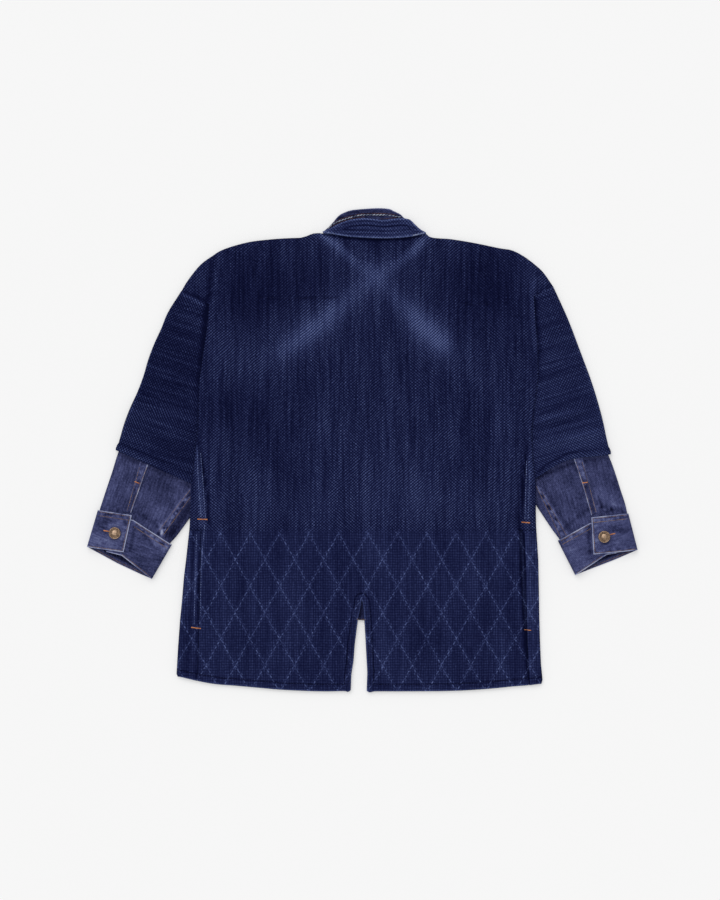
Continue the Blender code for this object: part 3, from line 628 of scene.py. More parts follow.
# the body
bodyCut = {
    "backCloth": 2.2,
    "frontCloth": 2.1,
    "plateau": 7.6,
    "hemLevel": 6.1,
    "waist": -120.0,
    "capLevel": 6.8,
    "shoulderRound": 5.5,
    "restLevel": 2.55,
    "foldRound": 2.6,
    "foldShelf": 28.0,
    "foldSlope": 55.0,
    "ridgeHalfWidth": 3.4,
    "ridgeHeight": 0.55,
    "underlayHem": -266.0,
    "tuck": (1.6, 0.8),      # how far a front's hidden edge stays inside its sleeve's
    "reliefReach": 6.0,      # creases start here, inside the folded sides
    "reliefSlope": 20.0,
    "hemSlope": 50.0,
    "stripSlope": 40.0,
    "creaseFoot": 214.0,     # the shoulder caps' creases start here and go up
    "creaseInside": 40.0,
    "creaseOutside": -60.0,
    "creaseHalfWidth": 3.5,
    "hemWidth": 8.0,         # the turned hem, its rolled rim and the groove along its stitching
    "hemLift": 0.45,
    "rimDepth": 1.3,
    "rimRadius": 2.2,
    "hemGroove": 0.5,
    "hemGroovePlace": 10.6,
}
shoulderLeft = [(-272, 238.5), (-262, 255), (-244, 277.5), (-226, 291), (-208, 301.5),
                (-172, 312), (-136, 316.5), (-108.8, 318.2), (-91.2, 318.8), (-86.4, 320.1),
                (-80, 323), (-73.5, 325.2), (-68.7, 325.7), (-62, 325.3)]
neckLine = [(-62, 325.3), (-29, 323.5), (11, 322), (49, 322), (73, 322), (94.5, 324.4)]
shoulderRight = [(94.5, 324.4), (99.3, 321), (104, 319), (115.2, 317.8), (134, 316.5), (170, 310.5),
                 (206, 303), (224, 300), (242, 291), (260, 277.5), (272, 266), (286, 246)]
foldLeft = [(-230, 218), (-232, 189), (-238, 150), (-244, 106), (-246, 36), (-250, 0),
            (-254, -34), (-257, -54), (-259, -102), (-260, -120)]
foldRight = [(257, 231), (259, 195), (263, 154), (263, 106), (257, 60), (253, 24),
             (256, -22), (260, -50), (260, -93), (261, -120)]
seamLeft = [(-241.7, -120), (-243, -165), (-245, -267), (-246, -300), (-248.5, -346.4)]
seamRight = [(236, -120), (239, -190), (242.7, -262), (246.6, -275), (247.6, -300), (249.6, -353)]
stripEdgeLeft = [(-242.2, -120), (-243.5, -165), (-245.5, -267), (-246.5, -300), (-249, -346.4)]
stripEdgeRight = [(240.3, -120), (247.1, -268), (250.2, -353)]
creaseLeft = ((-235, 216), (-225, 285))
creaseRight = ((262, 229), (254, 285))
sideLeft = [(-260, -120), (-265, -165), (-268, -189), (-271, -225), (-274, -255),
            (-277, -297), (-279.3, -336), (-277.5, -340.2)]
sideRight = [(261, -120), (264, -165), (265, -213), (265.5, -249), (266.5, -285),
             (268, -321), (270.4, -345), (268.8, -351)]
hemLeft = [(-248.5, -346.4), (-230, -350), (-212, -352.2), (-190, -353.8), (-154, -357), (-118, -360),
           (-64, -362.2), (-28, -361.8), (-22, -363), (-17.6, -360.6)]
hemRight = [(6.2, -361.4), (10, -363.8), (14, -363.3), (20, -362.2), (62, -362.2), (134, -361.5),
            (188, -358.5), (224, -355), (249.6, -353)]
ventTop = (-1.3, -225.3)
ventLeft = [ventTop, (-1.9, -228.7), (-3.6, -240), (-6.5, -252.7), (-8.3, -266.4), (-11.6, -291.6),
            (-13.4, -316.5), (-16.7, -337.2), (-17.6, -360.6)]
ventRight = [ventTop, (0.5, -228.4), (1.5, -240), (2.7, -256.2), (4.4, -282.5), (5.9, -311),
             (7.2, -333.8), (6.2, -361.4)]
freeEdge = hemLeft + ventLeft[::-1] + ventRight + hemRight
foldLevel = [(290, 7.2), (218, 9.8), (60, 9.8), (25, 12.7), (-66, 12.7), (-96, 10.6),
             (-113, 7.6), (-120, 7.2)]
foldRestDepth = [(290, 1.3), (-66, 1.3), (-96, 2.6), (-113, 4.4), (-120, 4.3)]
stripLevel = [(-120, 7.1), (-200, 6.8), (-300, 6.2), (-350, 6.0)]

# the side seams above the waist, a raised welt and a groove on the left, a groove on the right;
# the table gives each line's height, half width, and the power that shapes its flanks
weltLeft = [(-252, 20), (-246, -30), (-242, -75), (-240, -120)]
grooveLeft = [(-246, 14), (-236, -45), (-230.5, -80), (-231.5, -103), (-236, -120)]
grooveRight = [(249, 12), (243, -20), (240, -60), (237.5, -105), (236.5, -120)]
sideSeams = [(weltLeft, 0.9, 4.2, 4), (grooveLeft, -1.3, 2.2, 2), (grooveRight, -1.5, 2.4, 2)]
yokeSeams = [[(-164, 301), (-161, 246)], [(-154, 229), (-90, 228), (-26, 229)], [(144, 219), (191, 219)]]
backCreases = [
    ([(-190, 150), (-120, 190), (-40, 240)], 26, 0.5),
    ([(30, 235), (90, 190), (150, 150)], 26, 0.5),
    ([(-150, 60), (-60, 40), (40, 52)], 30, -0.4),
    ([(-120, -60), (-10, -75), (110, -62)], 26, 0.45),
    ([(-205, 250), (-180, 180), (-200, 90)], 16, -0.5),
    ([(215, 240), (205, 160), (222, 80)], 16, -0.5),
    ([(-95, 300), (-60, 250)], 14, 0.5),
    ([(140, 295), (105, 250)], 14, 0.5),
    ([(-170, -180), (-110, -230)], 18, 0.5),
    ([(90, -170), (170, -215)], 18, 0.5),
    ([(-60, -330), (-120, -300)], 16, -0.4),
    ([(60, -310), (150, -320)], 16, -0.4),
    ([(-228, 10), (-214, -60), (-218, -110)], 9, -0.5),
    ([(226, 20), (214, -60), (216, -110)], 9, -0.5),
]

# the dark line where the collar stands on the back
bandLowShadow = [(-56, 323.4), (-41.6, 320.6), (-22.4, 317.7), (6.5, 315.7), (35.3, 315), (57.8, 315.9),
                 (75.3, 318), (88, 320.8)]
# where the cloth is worn pale: two bands that cross under the neck, and softer clouds; paler along folds and
# seam ridges, partly wear and partly painted highlight; and painted shade where it folds away from the light,
# in creases, seams and gaps
bodyWearAndShading = [
    ([(-61.8, 322), (-45.8, 312.6), (-29.8, 299.8), (-13.8, 285.4), (2.3, 272.6)],
     [6, 7, 8, 9, 10], [0.32, 0.36, 0.27, 0.16, 0.08]),
    ([(95, 320.6), (82.2, 304.6), (66.2, 290.2), (50.2, 279), (34.2, 266.2)],
     [6, 7, 8, 9, 10], [0.34, 0.32, 0.24, 0.16, 0.08]),
    ([(-52, 322), (-30, 305), (-8, 285), (23, 258), (56, 223), (86, 192), (117, 160), (133, 141)],
     17, [0.04, 0.06, 0.09, 0.16, 0.21, 0.31, 0.36, 0.05]),
    ([(92, 321), (75, 308), (55, 292), (23, 265), (-8, 238), (-40, 211), (-70, 184), (-109, 156),
      (-137, 134)], 16, [0.04, 0.06, 0.08, 0.15, 0.19, 0.25, 0.28, 0.22, 0.06]),
    ([(18, 262), (16, 240)], 14, [0.03, 0.03]),
    ([(64, 215), (95, 180), (122, 152)], 32, [0.03, 0.12, 0.05]),
    ([(-30, 215), (-70, 182), (-118, 150)], 32, [0.04, 0.12, 0.08]),
    ([(-222, 150), (-200, 148)], 30, [0.07, 0.05]),
    ([(-60, -10), (0, 0), (60, 0)], 60, [0.03, 0.05, 0.03]),
    ([(-60, -70), (0, -74), (100, -70)], 26, [0.03, 0.04, 0.03]),
    ([(-225, -88), (0, -96), (225, -92)], 24, [0.06, 0.03, 0.04]),
    ([(-190, -60), (-150, -66)], 34, [0.04, 0.03]),
    ([(80, -62), (170, -66)], 34, [0.04, 0.04]),
    # darker over the shoulders, beside the left fold, below the collar and along two short lines in the neck
    # bands
    ([(-190, 270), (-90, 262)], 40, [-0.08, -0.07]),
    ([(190, 270), (150, 262)], 40, [-0.07, -0.06]),
    ([(-184, 222), (-140, 232)], 34, [-0.08, -0.06]),
    ([(196, 222), (164, 212)], 38, [-0.1, -0.08]),
    ([(-190, 60), (-120, 40)], 50, [-0.07, -0.07]),
    ([(-250, 200), (-243, 120)], 20, [-0.03, -0.03]),
    ([(18, 300), (18, 314)], 12, [-0.02, -0.08]),
    ([(-21.8, 306.2), (-4.2, 287)], 7, [-0.12, -0.10]),
    ([(72.6, 309), (50.2, 289.8)], 7, [-0.10, -0.10]),
    # painted shade in the crevice where the left cap turns down; paler along the crease beside it, partly
    # wear and partly painted highlight
    ([(-223.5, 281), (-226, 262), (-229.5, 240), (-234, 220)], 3.2, [-0.03, -0.12, -0.2, -0.22]),
    ([(-218.5, 284), (-221, 262), (-225, 238), (-229, 200)], 3.8, [0.08, 0.13, 0.1, 0.05]),
    ([(-214, 292), (-200, 276), (-190, 240)], 8, [0.05, 0.06, 0.02]),
    # painted shade along the seams where the caps meet the sleeves
    ([(-272, 240.5), (-258.8, 234.5), (-246.8, 228.5), (-232.4, 221.5)], 3, [-0.12, -0.14, -0.14, -0.1]),
    ([(257.9, 234), (270, 241), (284, 247.5)], 3, [-0.1, -0.1, -0.08]),
    # pale along the right fold's edge, partly wear and partly painted highlight
    ([(262, 258), (256.5, 250.5), (254, 237), (255.2, 200), (259, 150)], 3.4, [0.08, 0.16, 0.16, 0.14, 0.05]),
    # pale along the side seams and the left strip's seam ridge, partly wear and partly painted highlight
    ([(-248, 4), (-243, -60), (-239.5, -112)], 6, [0.08, 0.2, 0.18]),
    ([(252, 10), (248.5, -60), (245.5, -114)], 6, [0.12, 0.2, 0.16]),
    ([(-250, -4), (-256, -60), (-259, -112)], 5, [0.02, 0.05, 0.04]),
    ([(-235, -110), (-238.2, -128), (-241.4, -156), (-243.4, -196), (-244.6, -222), (-245.2, -250),
      (-246.6, -310)], 3.2, [0.1, 0.14, 0.2, 0.2, 0.2, 0.18, 0.04]),
    # painted shadow in the open pocket gap beside the right strip
    ([(238.6, -124), (240.6, -200), (245.6, -300), (248, -342)], 3.6, [-0.25, -0.38, -0.3, -0.2]),
]
grooveShade = [
    (grooveLeft, 1.8, [-0.12, -0.3, -0.34, -0.3, -0.2]),
    (grooveRight, 1.9, [-0.16, -0.34, -0.38, -0.36, -0.3]),
    (bandLowShadow, 2.0, -0.28),
] + [(seam, 1.1, [-0.13] * len(seam)) for seam in yokeSeams]


def rounding(depth, radius, distance):
    if distance >= radius:
        return 0.0
    return depth * (1 - sqrt(max(0.0, 1 - (1 - distance / radius) ** 2)))


def diamondRelief(x, y):
    apexX, apexY = weave["diamondApex"][0] / mm, weave["diamondApex"][1] / mm
    width, height = weave["diamondWidth"] / mm, weave["diamondHeight"] / mm
    if y > apexY:
        return 0.0
    nearest = width
    for sign in (-1, 1):
        shift = x - apexX - sign * width / height * (y - apexY)
        nearest = min(nearest, abs((shift + width / 2) % width - width / 2))
    near = nearest / bodyCut["ridgeHalfWidth"]
    return bodyCut["ridgeHeight"] * max(0.0, 1 - near * near) if near < 1 else 0.0


shoulderTrack = track(shoulderLeft + neckLine[1:] + shoulderRight[1:])
shoulderLine = [tuple(shoulderTrack(share)) for share in spread(220)]
shoulderParts = [[p for p in shoulderLine if p[0] < -50], [p for p in shoulderLine if p[0] > 85]]


def backLevel(x, y):
    if y < bodyCut["waist"]:
        plateau = between(bodyCut["plateau"], bodyCut["hemLevel"],
                          ease((bodyCut["underlayHem"] - y) / bodyCut["hemSlope"]))
        inside = min(x - edgeX(seamLeft, y), edgeX(seamRight, y) - x)
        top = between(level(stripLevel, y), plateau, ease(inside / bodyCut["stripSlope"]))
        return top + creaseLift(backCreases, x, y)
    side = min(x - edgeX(foldLeft, y), edgeX(foldRight, y) - x)
    shelf = between(level(foldLevel, y), bodyCut["plateau"],
                    ease((side - bodyCut["foldShelf"]) / bodyCut["foldSlope"]))
    if y > bodyCut["creaseFoot"]:
        half = bodyCut["creaseHalfWidth"]
        for (foot, head), sense in ((creaseLeft, 1), (creaseRight, -1)):
            crease = between(foot[0], head[0], (y - foot[1]) / (head[1] - foot[1]))
            inside = (x - crease) * sense
            if inside <= bodyCut["creaseOutside"]:
                shelf = bodyCut["capLevel"]
            elif inside < bodyCut["creaseInside"]:
                shelf = between(bodyCut["capLevel"], shelf, ease((inside + half) / (2 * half)))
    clear = side - bodyCut["reliefReach"]
    if clear > 0:
        shelf += creaseLift(backCreases, x, y) * ease(clear / bodyCut["reliefSlope"])
    if y > 225 and (x < -58 or x > 91):
        shoulder = distanceTo(shoulderParts[0 if x < 0 else 1], x, y)
        shelf -= rounding(shelf - bodyCut["restLevel"], bodyCut["shoulderRound"], shoulder)
    if y < 231:
        fold = min(distanceTo(foldLeft, x, y), distanceTo(foldRight, x, y))
        shelf -= rounding(level(foldRestDepth, y), bodyCut["foldRound"], fold)
    return shelf


def backRelief(x, y, z):
    lift = 0.0
    if y < bodyCut["waist"]:
        free = distanceTo(freeEdge, x, y)
        lift += diamondRelief(x, y) * ease((free - bodyCut["hemWidth"]) / 4)
        lift += bodyCut["hemLift"] * (1 - ease((free - bodyCut["hemWidth"] - 0.5) / 2.5))
        lift -= rounding(bodyCut["rimDepth"], bodyCut["rimRadius"], free)
        lift -= bodyCut["hemGroove"] * exp(-(free - bodyCut["hemGroovePlace"]) ** 2)
        seam = min(x - edgeX(seamLeft, y), edgeX(seamRight, y) - x)
        lift -= rounding(1.2, 1.6, max(0.0, seam))
    elif y < 30:
        fadeIn = ease((30 - y) / 40)
        for line, height, half, power in sideSeams:
            lift += height * fadeIn * exp(-(distanceTo(line, x, y) / half) ** power)
    elif y > 200:
        for seam in yokeSeams:
            lift -= 0.25 * exp(-(distanceTo(seam, x, y) / 2.2) ** 2)
    return lift


def makeBack():
    corner = 0.12
    left = joined(track([shoulderLeft[0], foldLeft[0]]), track(foldLeft, soft=False), corner)
    right = joined(track([shoulderRight[-1], foldRight[0]]), track(foldRight, soft=False), corner)
    bottom = track([foldLeft[-1], foldRight[-1]])
    leftEnd, rightEnd = foldLeft[-1][0], foldRight[-1][0]
    rim = [0, 0.9, 2.8, 5.6, 9, 12, 15]
    leftXs = spread(48, seamLeft[0][0], -13) + [-10.5, -7, -4.6, -2.6, ventTop[0]]
    rightXs = [-0.3, 1.0, 3, 6.5] + spread(46, 9.5, seamRight[0][0])
    waistXs = ([leftEnd + r for r in rim] + leftXs + rightXs
               + [rightEnd - r for r in reversed([0, 0.9, 2.8, 5.6, 9, 13, 17, 21])])
    across = [(x - leftEnd) / (rightEnd - leftEnd) for x in waistXs]
    down = [0.0, 0.0022, 0.0072, 0.0145, 0.026, 0.04, 0.055, 0.07, 0.085, 0.1, corner] + spread(84, 0.13, 1.0)
    bm = bmesh.new()
    plan = coons(shoulderTrack, bottom, left, right, across, down)
    gridFaces(bm, [[(p.x, p.y, 0) for p in row] for row in plan])

    knot = 0.43
    waistY = bodyCut["waist"]
    drop = track([(ventTop[0], waistY), ventTop])
    rows = spread(24, 0, knot) + spread(26, knot, 0.94)[1:]
    rows += [0.948, 0.953, 0.958, 0.966, 0.98, 0.991, 0.997, 1.0]
    for xs, seam, vent, hem in ((leftXs, seamLeft, ventLeft, hemLeft),
                                ([ventTop[0]] + rightXs, seamRight, ventRight, hemRight)):
        start, end = xs[0], xs[-1]
        shares = [(x - start) / (end - start) for x in xs]
        slit = joined(drop, track(vent, soft=False), knot)
        outer = track(seam, soft=False)
        sides = (outer, slit) if xs is leftXs else (slit, outer)
        patch = coons(track([(start, waistY), (end, waistY)]), track(hem), *sides, shares, rows)
        gridFaces(bm, [[(p.x, p.y, 0) for p in row] for row in patch])
    bmesh.ops.remove_doubles(bm, verts=bm.verts[:], dist=2e-6)
    skirtEdges = [e for e in bm.edges if all(v.co.y < (waistY + 0.01) * mm for v in e.verts)]
    bmesh.ops.subdivide_edges(bm, edges=skirtEdges, cuts=1, use_grid_fill=True)
    for vert in bm.verts:
        vert.co.z = backLevel(vert.co.x / mm, vert.co.y / mm) * mm
    return finishPiece("backPanel", bm, bodyCloth, bodyCut["backCloth"], True, backRelief,
                       lambda x, y: bodyCut["restLevel"], ["back"],
                       bodyWearAndShading + grooveShade, [freeEdge])


sleeveOutLeft = [(-272, 238.9), (-292, 207), (-302, 183), (-313, 159), (-322, 135),
                 (-329, 111), (-338, 87), (-349, 63), (-358, 39), (-365, 15), (-370.5, 0)]
sleeveInLeft = [(-213, 210), (-219, 150), (-225, 80), (-229, 20), (-232, -62)]
sleeveOutRight = [(286, 246.2), (304, 207), (314, 183), (323, 159), (332, 135),
                  (341, 111), (349, 87), (356, 63), (362, 39), (367, 15), (373, -6)]
sleeveInRight = [(241, 223.2), (242.5, 150), (240, 80), (235, 20), (237, -56)]
forearmRingsLeft = [((-360, 16), (-238, -38), 2.6, 3.7, 0), ((-366, -2), (-237.5, -58), 2.6, 3.7, 0),
                    ((-369.5, -12), (-238, -70), 1.2, 4.6, 0), ((-376, -33), (-247, -86), 0, 5.4, 0),
                    ((-385, -60), (-262, -106), 0, 5.8, 0), ((-390.5, -77), (-278, -128), 0.9, 5.7, 0),
                    ((-394.6, -91), (-288.8, -140.3), 2.35, 5.3, 0),
                    ((-394.3, -100.5), (-294, -149.5), 2.35, 5.3, 0)]
forearmRingsRight = [((363, 12), (242, -36), 2.6, 3.7, 10), ((369, -7), (242, -52), 2.6, 3.7, 12),
                     ((373.5, -18), (245, -62), 1.2, 4.6, 11), ((380, -36), (256, -76), 0, 5.4, 8),
                     ((387.6, -60), (268.5, -95), 0, 5.8, 4), ((394.6, -82), (284.5, -119), 0.9, 5.7, 2),
                     ((397.4, -96.3), (295.9, -134.5), 2.35, 5.3, 0),
                     ((397.6, -106), (300.5, -143.5), 2.35, 5.3, 0)]
bandRunLeft = ([(-58, 317.6), (-60, 80), (-64.5, -359.6)], [(-19, 317.6), (-21, 80), (-24, -359.6)])
bandRunRight = ([(101, 317.6), (70, 80), (56, -359.6)], [(60, 317.6), (28, 80), (14, -359.6)])


# the plan point at a share of an edge listed as (share, x, y)
def byShare(points, share):
    for (s0, x0, y0), (s1, x1, y1) in zip(points, points[1:]):
        if share <= s1:
            t = (share - s0) / (s1 - s0)
            return Vector((between(x0, x1, t), between(y0, y1, t)))
    return Vector(points[-1][1:])


# shares run down the outer edge: past the shoulder, down to the waist, then to the hem
frontCut = {
    "armShare": 0.14,
    "waistShare": 0.60,
    "turnGap": 0.002,
    "middleY": -100.0,     # the centre edge's own height at the waist's share
    "stripColumns": 9,
    "sagReach": 60.0,
    "stripFloor": 4.6,     # relief lies only on the strip, above this height
    "groovePlace": 8.6,
    "seamDepth": 1.1,
    "seamRadius": 1.5,
}


# a front lies on the floor; below the waist its outer edge turns up as the side strip
def makeFront(side, shoulder, seamCorner, sleeveIn, forearm, fold, outline, seam, hem, run):
    sense = -1 if side == "left" else 1
    corner, waist = frontCut["armShare"], frontCut["waistShare"]
    waistY, middleY = bodyCut["waist"], frontCut["middleY"]
    tuckX, tuckY = bodyCut["tuck"]
    hidden = [(x - sense * tuckX, y - tuckY) for x, y in sleeveIn]
    armX, armY = forearm[4][1]
    hidden.append((sense * (min(abs(armX), abs(fold[-1][0])) - tuckX), armY - tuckY))
    hidden.append((fold[-1][0] - sense * 0.3, fold[-1][1] + 5))
    drop = hidden[0][1] - waistY
    knots = [(0, *shoulder[0]), (0.1, *seamCorner)]
    knots += [(between(corner, waist, (hidden[0][1] - y) / drop), x, y) for x, y in hidden]
    knots.append((waist, fold[-1][0], waistY))
    end = outline[-1][1]
    turnStart = waist + frontCut["turnGap"]
    knots.append((turnStart, outline[0][0] - sense * 3.4, waistY - 0.4))
    for x, y in outline[1:]:
        share = between(waist + 0.03, 1.0, (waistY - 5 - y) / (waistY - 5 - end))
        knots.append((share, x - sense * level(stripLevel, y) / 2, y))
    neckRun = track(run[0])
    seamLine = [neckRun(share) for share in spread(60)]

    def centre(share):
        if share < waist:
            y = between(seamLine[0].y, middleY, share / waist)
        else:
            y = between(middleY, seamLine[-1].y, (share - waist) / (1 - waist))
        return Vector((edgeX(seamLine, y) + sense * seamGap, y))

    foot = centre(1.0)
    hemLine = [(x, y + 1.0) for x, y in hem if abs(x) > abs(foot.x) + 8]
    hemLine = [(knots[-1][1], end)] + hemLine + [(foot.x, foot.y)]
    shares = [k[0] for k in knots] + [0.05] + spread(20, 0.19, waist) + spread(76, turnStart, 1.0)
    down = sorted({round(share, 4) for share in shares})
    plan = coons(track(shoulder + [tuple(centre(0))]), track(hemLine),
                 lambda share: byShare(knots, share), centre, spread(24), down)

    stripColumns = frontCut["stripColumns"]
    turnSteps = roundSteps(90, 60, 30, 0, -30, -60)
    rows = []
    for v, planRow in zip(down, plan):
        ground = [(p.x, p.y, 0) for p in planRow]
        turned = [None] * (stripColumns + len(turnSteps))
        if v >= turnStart - 1e-4:
            start = ground[0]
            top = level(stripLevel, start[1])
            seamX = edgeX(seam, start[1])
            sag = (seam[-1][1] - end) * ease((end - start[1]) / frontCut["sagReach"] + 1)
            turned = [(between(seamX, start[0], k / stripColumns),
                       start[1] + sag * (1 - k / stripColumns), top) for k in range(stripColumns)]
            turned += [(start[0] + sense * top / 2 * out, start[1], top / 2 * (1 + up))
                       for out, up in turnSteps]
        rows.append(turned + ground)
    bm = bmesh.new()
    gridFaces(bm, rows)
    bm.normal_update()
    lowest = min(bm.faces, key=lambda face: face.calc_center_median().z)
    if lowest.normal.z > 0:
        bmesh.ops.reverse_faces(bm, faces=bm.faces[:])

    def relief(x, y, z):
        if z < frontCut["stripFloor"]:
            return 0.0
        inward = (outline[-1][0] - x) / (outline[-1][0] - seam[-1][0])
        free = y - between(end, seam[-1][1], min(1.0, max(0.0, inward)))
        lift = diamondRelief(x, y) * ease((free - bodyCut["hemWidth"]) / 4)
        lift -= bodyCut["hemGroove"] * exp(-(free - frontCut["groovePlace"]) ** 2)
        return lift - rounding(frontCut["seamDepth"], frontCut["seamRadius"], abs(x - edgeX(seam, y)))

    return finishPiece("frontPanel" + side.capitalize(), bm, bodyCloth, bodyCut["frontCloth"], None, relief,
                       None, ["front_" + side], stripWearAndShading[side],
                       [[seam[-1], (outline[-1][0], end)]])


# along each side strip: pale bands, partly wear and partly painted highlight on the puckered edge, and
# painted shadow in the gap between the strip and the back
stripWearAndShading = {
    "left": [([(-248, -122), (-250.2, -169), (-251.3, -212), (-253, -262)], 2.6, [0.1, 0.18, 0.17, 0.1]),
             # painted shadow in the gap between the strip and the back
             ([(-244.6, -135), (-245.8, -200), (-247, -262), (-249.5, -344)], 1.4,
              [-0.14, -0.3, -0.24, -0.34]),
             ([(-254, -124), (-256, -200), (-259, -300)], 2.6, [-0.12, -0.14, -0.1]),
             ([(-252, -276), (-253, -320)], 3, [0.1, 0.06]),
             ([(-262, -140), (-272, -240), (-278, -330)], 6, [0.06, 0.09, 0.08]),
             ([(-259, -150), (-262, -200), (-260, -240)], 3, [0.06, 0.10, 0.03])],
    # painted shadow in the open pocket gap between the strip and the back
    "right": [([(241.5, -126), (243, -171), (243.4, -215), (244.6, -270), (249, -350)], 1.9,
               [-0.5, -0.6, -0.6, -0.5, -0.3]),
              # the strip's puckered edge, pale with wear and painted highlight
              ([(244.2, -126), (245.4, -141), (245, -153), (247, -171), (247, -215), (248.1, -249),
                (247.7, -267), (247.6, -283), (250.5, -315), (252.4, -351)], 1.5,
               [0.16, 0.22, 0.18, 0.26, 0.2, 0.26, 0.16, 0.18, 0.24, 0.12]),
              ([(249, -120), (253, -200), (257, -340)], 4, [0.13, 0.13, 0.09]),
              ([(262, -140), (264, -240), (267, -330)], 5, [0.08, 0.1, 0.09])],
}
seamGap = 0.35
backPanel = makeBack()
frontLeft = makeFront("left", shoulderLeft, foldLeft[0], sleeveInLeft, forearmRingsLeft, foldLeft,
                      sideLeft, stripEdgeLeft, hemLeft, bandRunLeft)
frontRight = makeFront("right", shoulderRight[:1:-1], foldRight[0], sleeveInRight, forearmRingsRight,
                       foldRight, sideRight, stripEdgeRight, hemRight[::-1], bandRunRight)
print("stage: body panels made")


# flat sheets under the back: the bands down the fronts and the denim front in the vent
denimFront = ([(-88, 235), (-96, 0), (-98, -249.5)], [(122, 235), (98, 0), (90, -261)])


def makeFlat(name, edges, count, columns, finish, thickness, base, node, worn=(), strokes=()):
    first, second = track(edges[0]), track(edges[1])
    rows = [[(*first(v).lerp(second(v), u), base + thickness) for u in spread(columns)]
            for v in spread(count)]
    bm = bmesh.new()
    gridFaces(bm, rows)
    return finishPiece(name, bm, finish, thickness, True, None, None, [node], strokes, worn)


bandLeft = makeFlat("frontBandLeft", bandRunLeft, 90, 8, bodyCloth, 3.0, 0.0, "front_band_left",
                    [bandRunLeft[1]])
bandRight = makeFlat("frontBandRight", bandRunRight, 90, 8, bodyCloth, 3.0, 0.0, "front_band_right",
                     [bandRunRight[1]])
underFront = makeFlat("denimFront", denimFront, 120, 40, frontDenim, 1.3, 3.35, "denim_underlayer",
                      [[denimFront[0][-1], denimFront[1][-1]]],
                      # painted shadow at the top of the vent
                      [([(-4, -222), (-5, -240), (-7, -258)], 3.5, [-0.2, -0.16, -0.1])])
print("stage: under layers made")


# sleeves and forearms: flattened tubes, creased on the upper side only
sleeveCut = {
    "cloth": 2.1,
    "height": 6.6,
    "mouthHeight": 8.9,
    "roll": 0.8,
    "groove": 0.35,
    "stations": 104,
    "mouthStations": [0.94, 0.95, 0.958, 0.966, 0.975, 0.983, 0.99, 0.996, 1.0],
    "columns": 50,
}
forearmCut = {"cloth": 1.3, "stations": 72, "columns": 64}


def ringPoints(outer, inner, base, height, bow, swell, columns):
    a, b = Vector(outer), Vector(inner)
    along = (b - a).normalized()
    a -= along * swell
    b += along * swell
    height += swell
    width = (b - a).length
    radius = height / 2
    points = [(between(radius, width - radius, share), height) for share in spread(columns)]
    points += [(width - radius + radius * out, radius + radius * up)
               for out, up in roundSteps(60, 30, 0, -30, -60)]
    points += [(between(width - radius, radius, share), 0.0) for share in spread(columns // 2)]
    points += [(radius - radius * out, radius + radius * up)
               for out, up in roundSteps(-60, -30, 0, 30, 60)]
    result = []
    for run, z in points:
        place = a + along * run
        arc = sin(pi * min(1.0, max(0.0, run / width))) ** 1.5
        result.append((place.x, place.y + bow * arc, base + z))
    return result + [result[0]]


def makeTube(name, rings, finish, cloth, creases, fold, node, strokes, puckers=()):
    bm = bmesh.new()
    gridFaces(bm, rings)
    bmesh.ops.remove_doubles(bm, verts=bm.verts[:], dist=1e-6)

    # creases stay clear of the body that lies over the inner edge
    def relief(x, y, z):
        if z < 3.0:
            return 0.0
        outside = abs(x) - abs(edgeX(fold, y))
        return creaseLift(creases, x, y) * ease((outside + 2) / 10) * ease((z - 3.0) / 3.0)

    return finishPiece(name, bm, finish, cloth, True, relief, None, [node], strokes, (), puckers)


sleeveCreases = {
    "left": [([(-318, 120), (-290, 108), (-258, 104)], 9, 0.9),
             ([(-330, 96), (-300, 80), (-262, 70)], 8, -0.8),
             ([(-345, 60), (-310, 40), (-268, 28)], 9, 1.0),
             ([(-352, 34), (-318, 14), (-275, -6)], 7, -0.8),
             ([(-290, 190), (-262, 178)], 9, -0.6),
             ([(-300, 165), (-268, 150)], 8, 0.7),
             ([(-283, 225), (-262, 222), (-243, 214)], 2.0, -0.9)],
    "right": [([(262, 40), (300, 52), (335, 62)], 5, 1.5),
              ([(262, 30), (300, 40), (338, 50)], 6, -0.9),
              ([(268, 4), (305, 18), (350, 26)], 5, 1.2),
              ([(268, -6), (310, 6), (352, 12)], 5, -0.9),
              ([(285, 110), (320, 124)], 10, 0.9),
              ([(275, 96), (325, 104)], 9, -0.7),
              ([(276, 190), (300, 178)], 9, 0.8),
              ([(282, 160), (310, 146)], 9, -0.6),
              ([(262, 231), (276, 238), (284, 246)], 2.0, -0.9)],
}
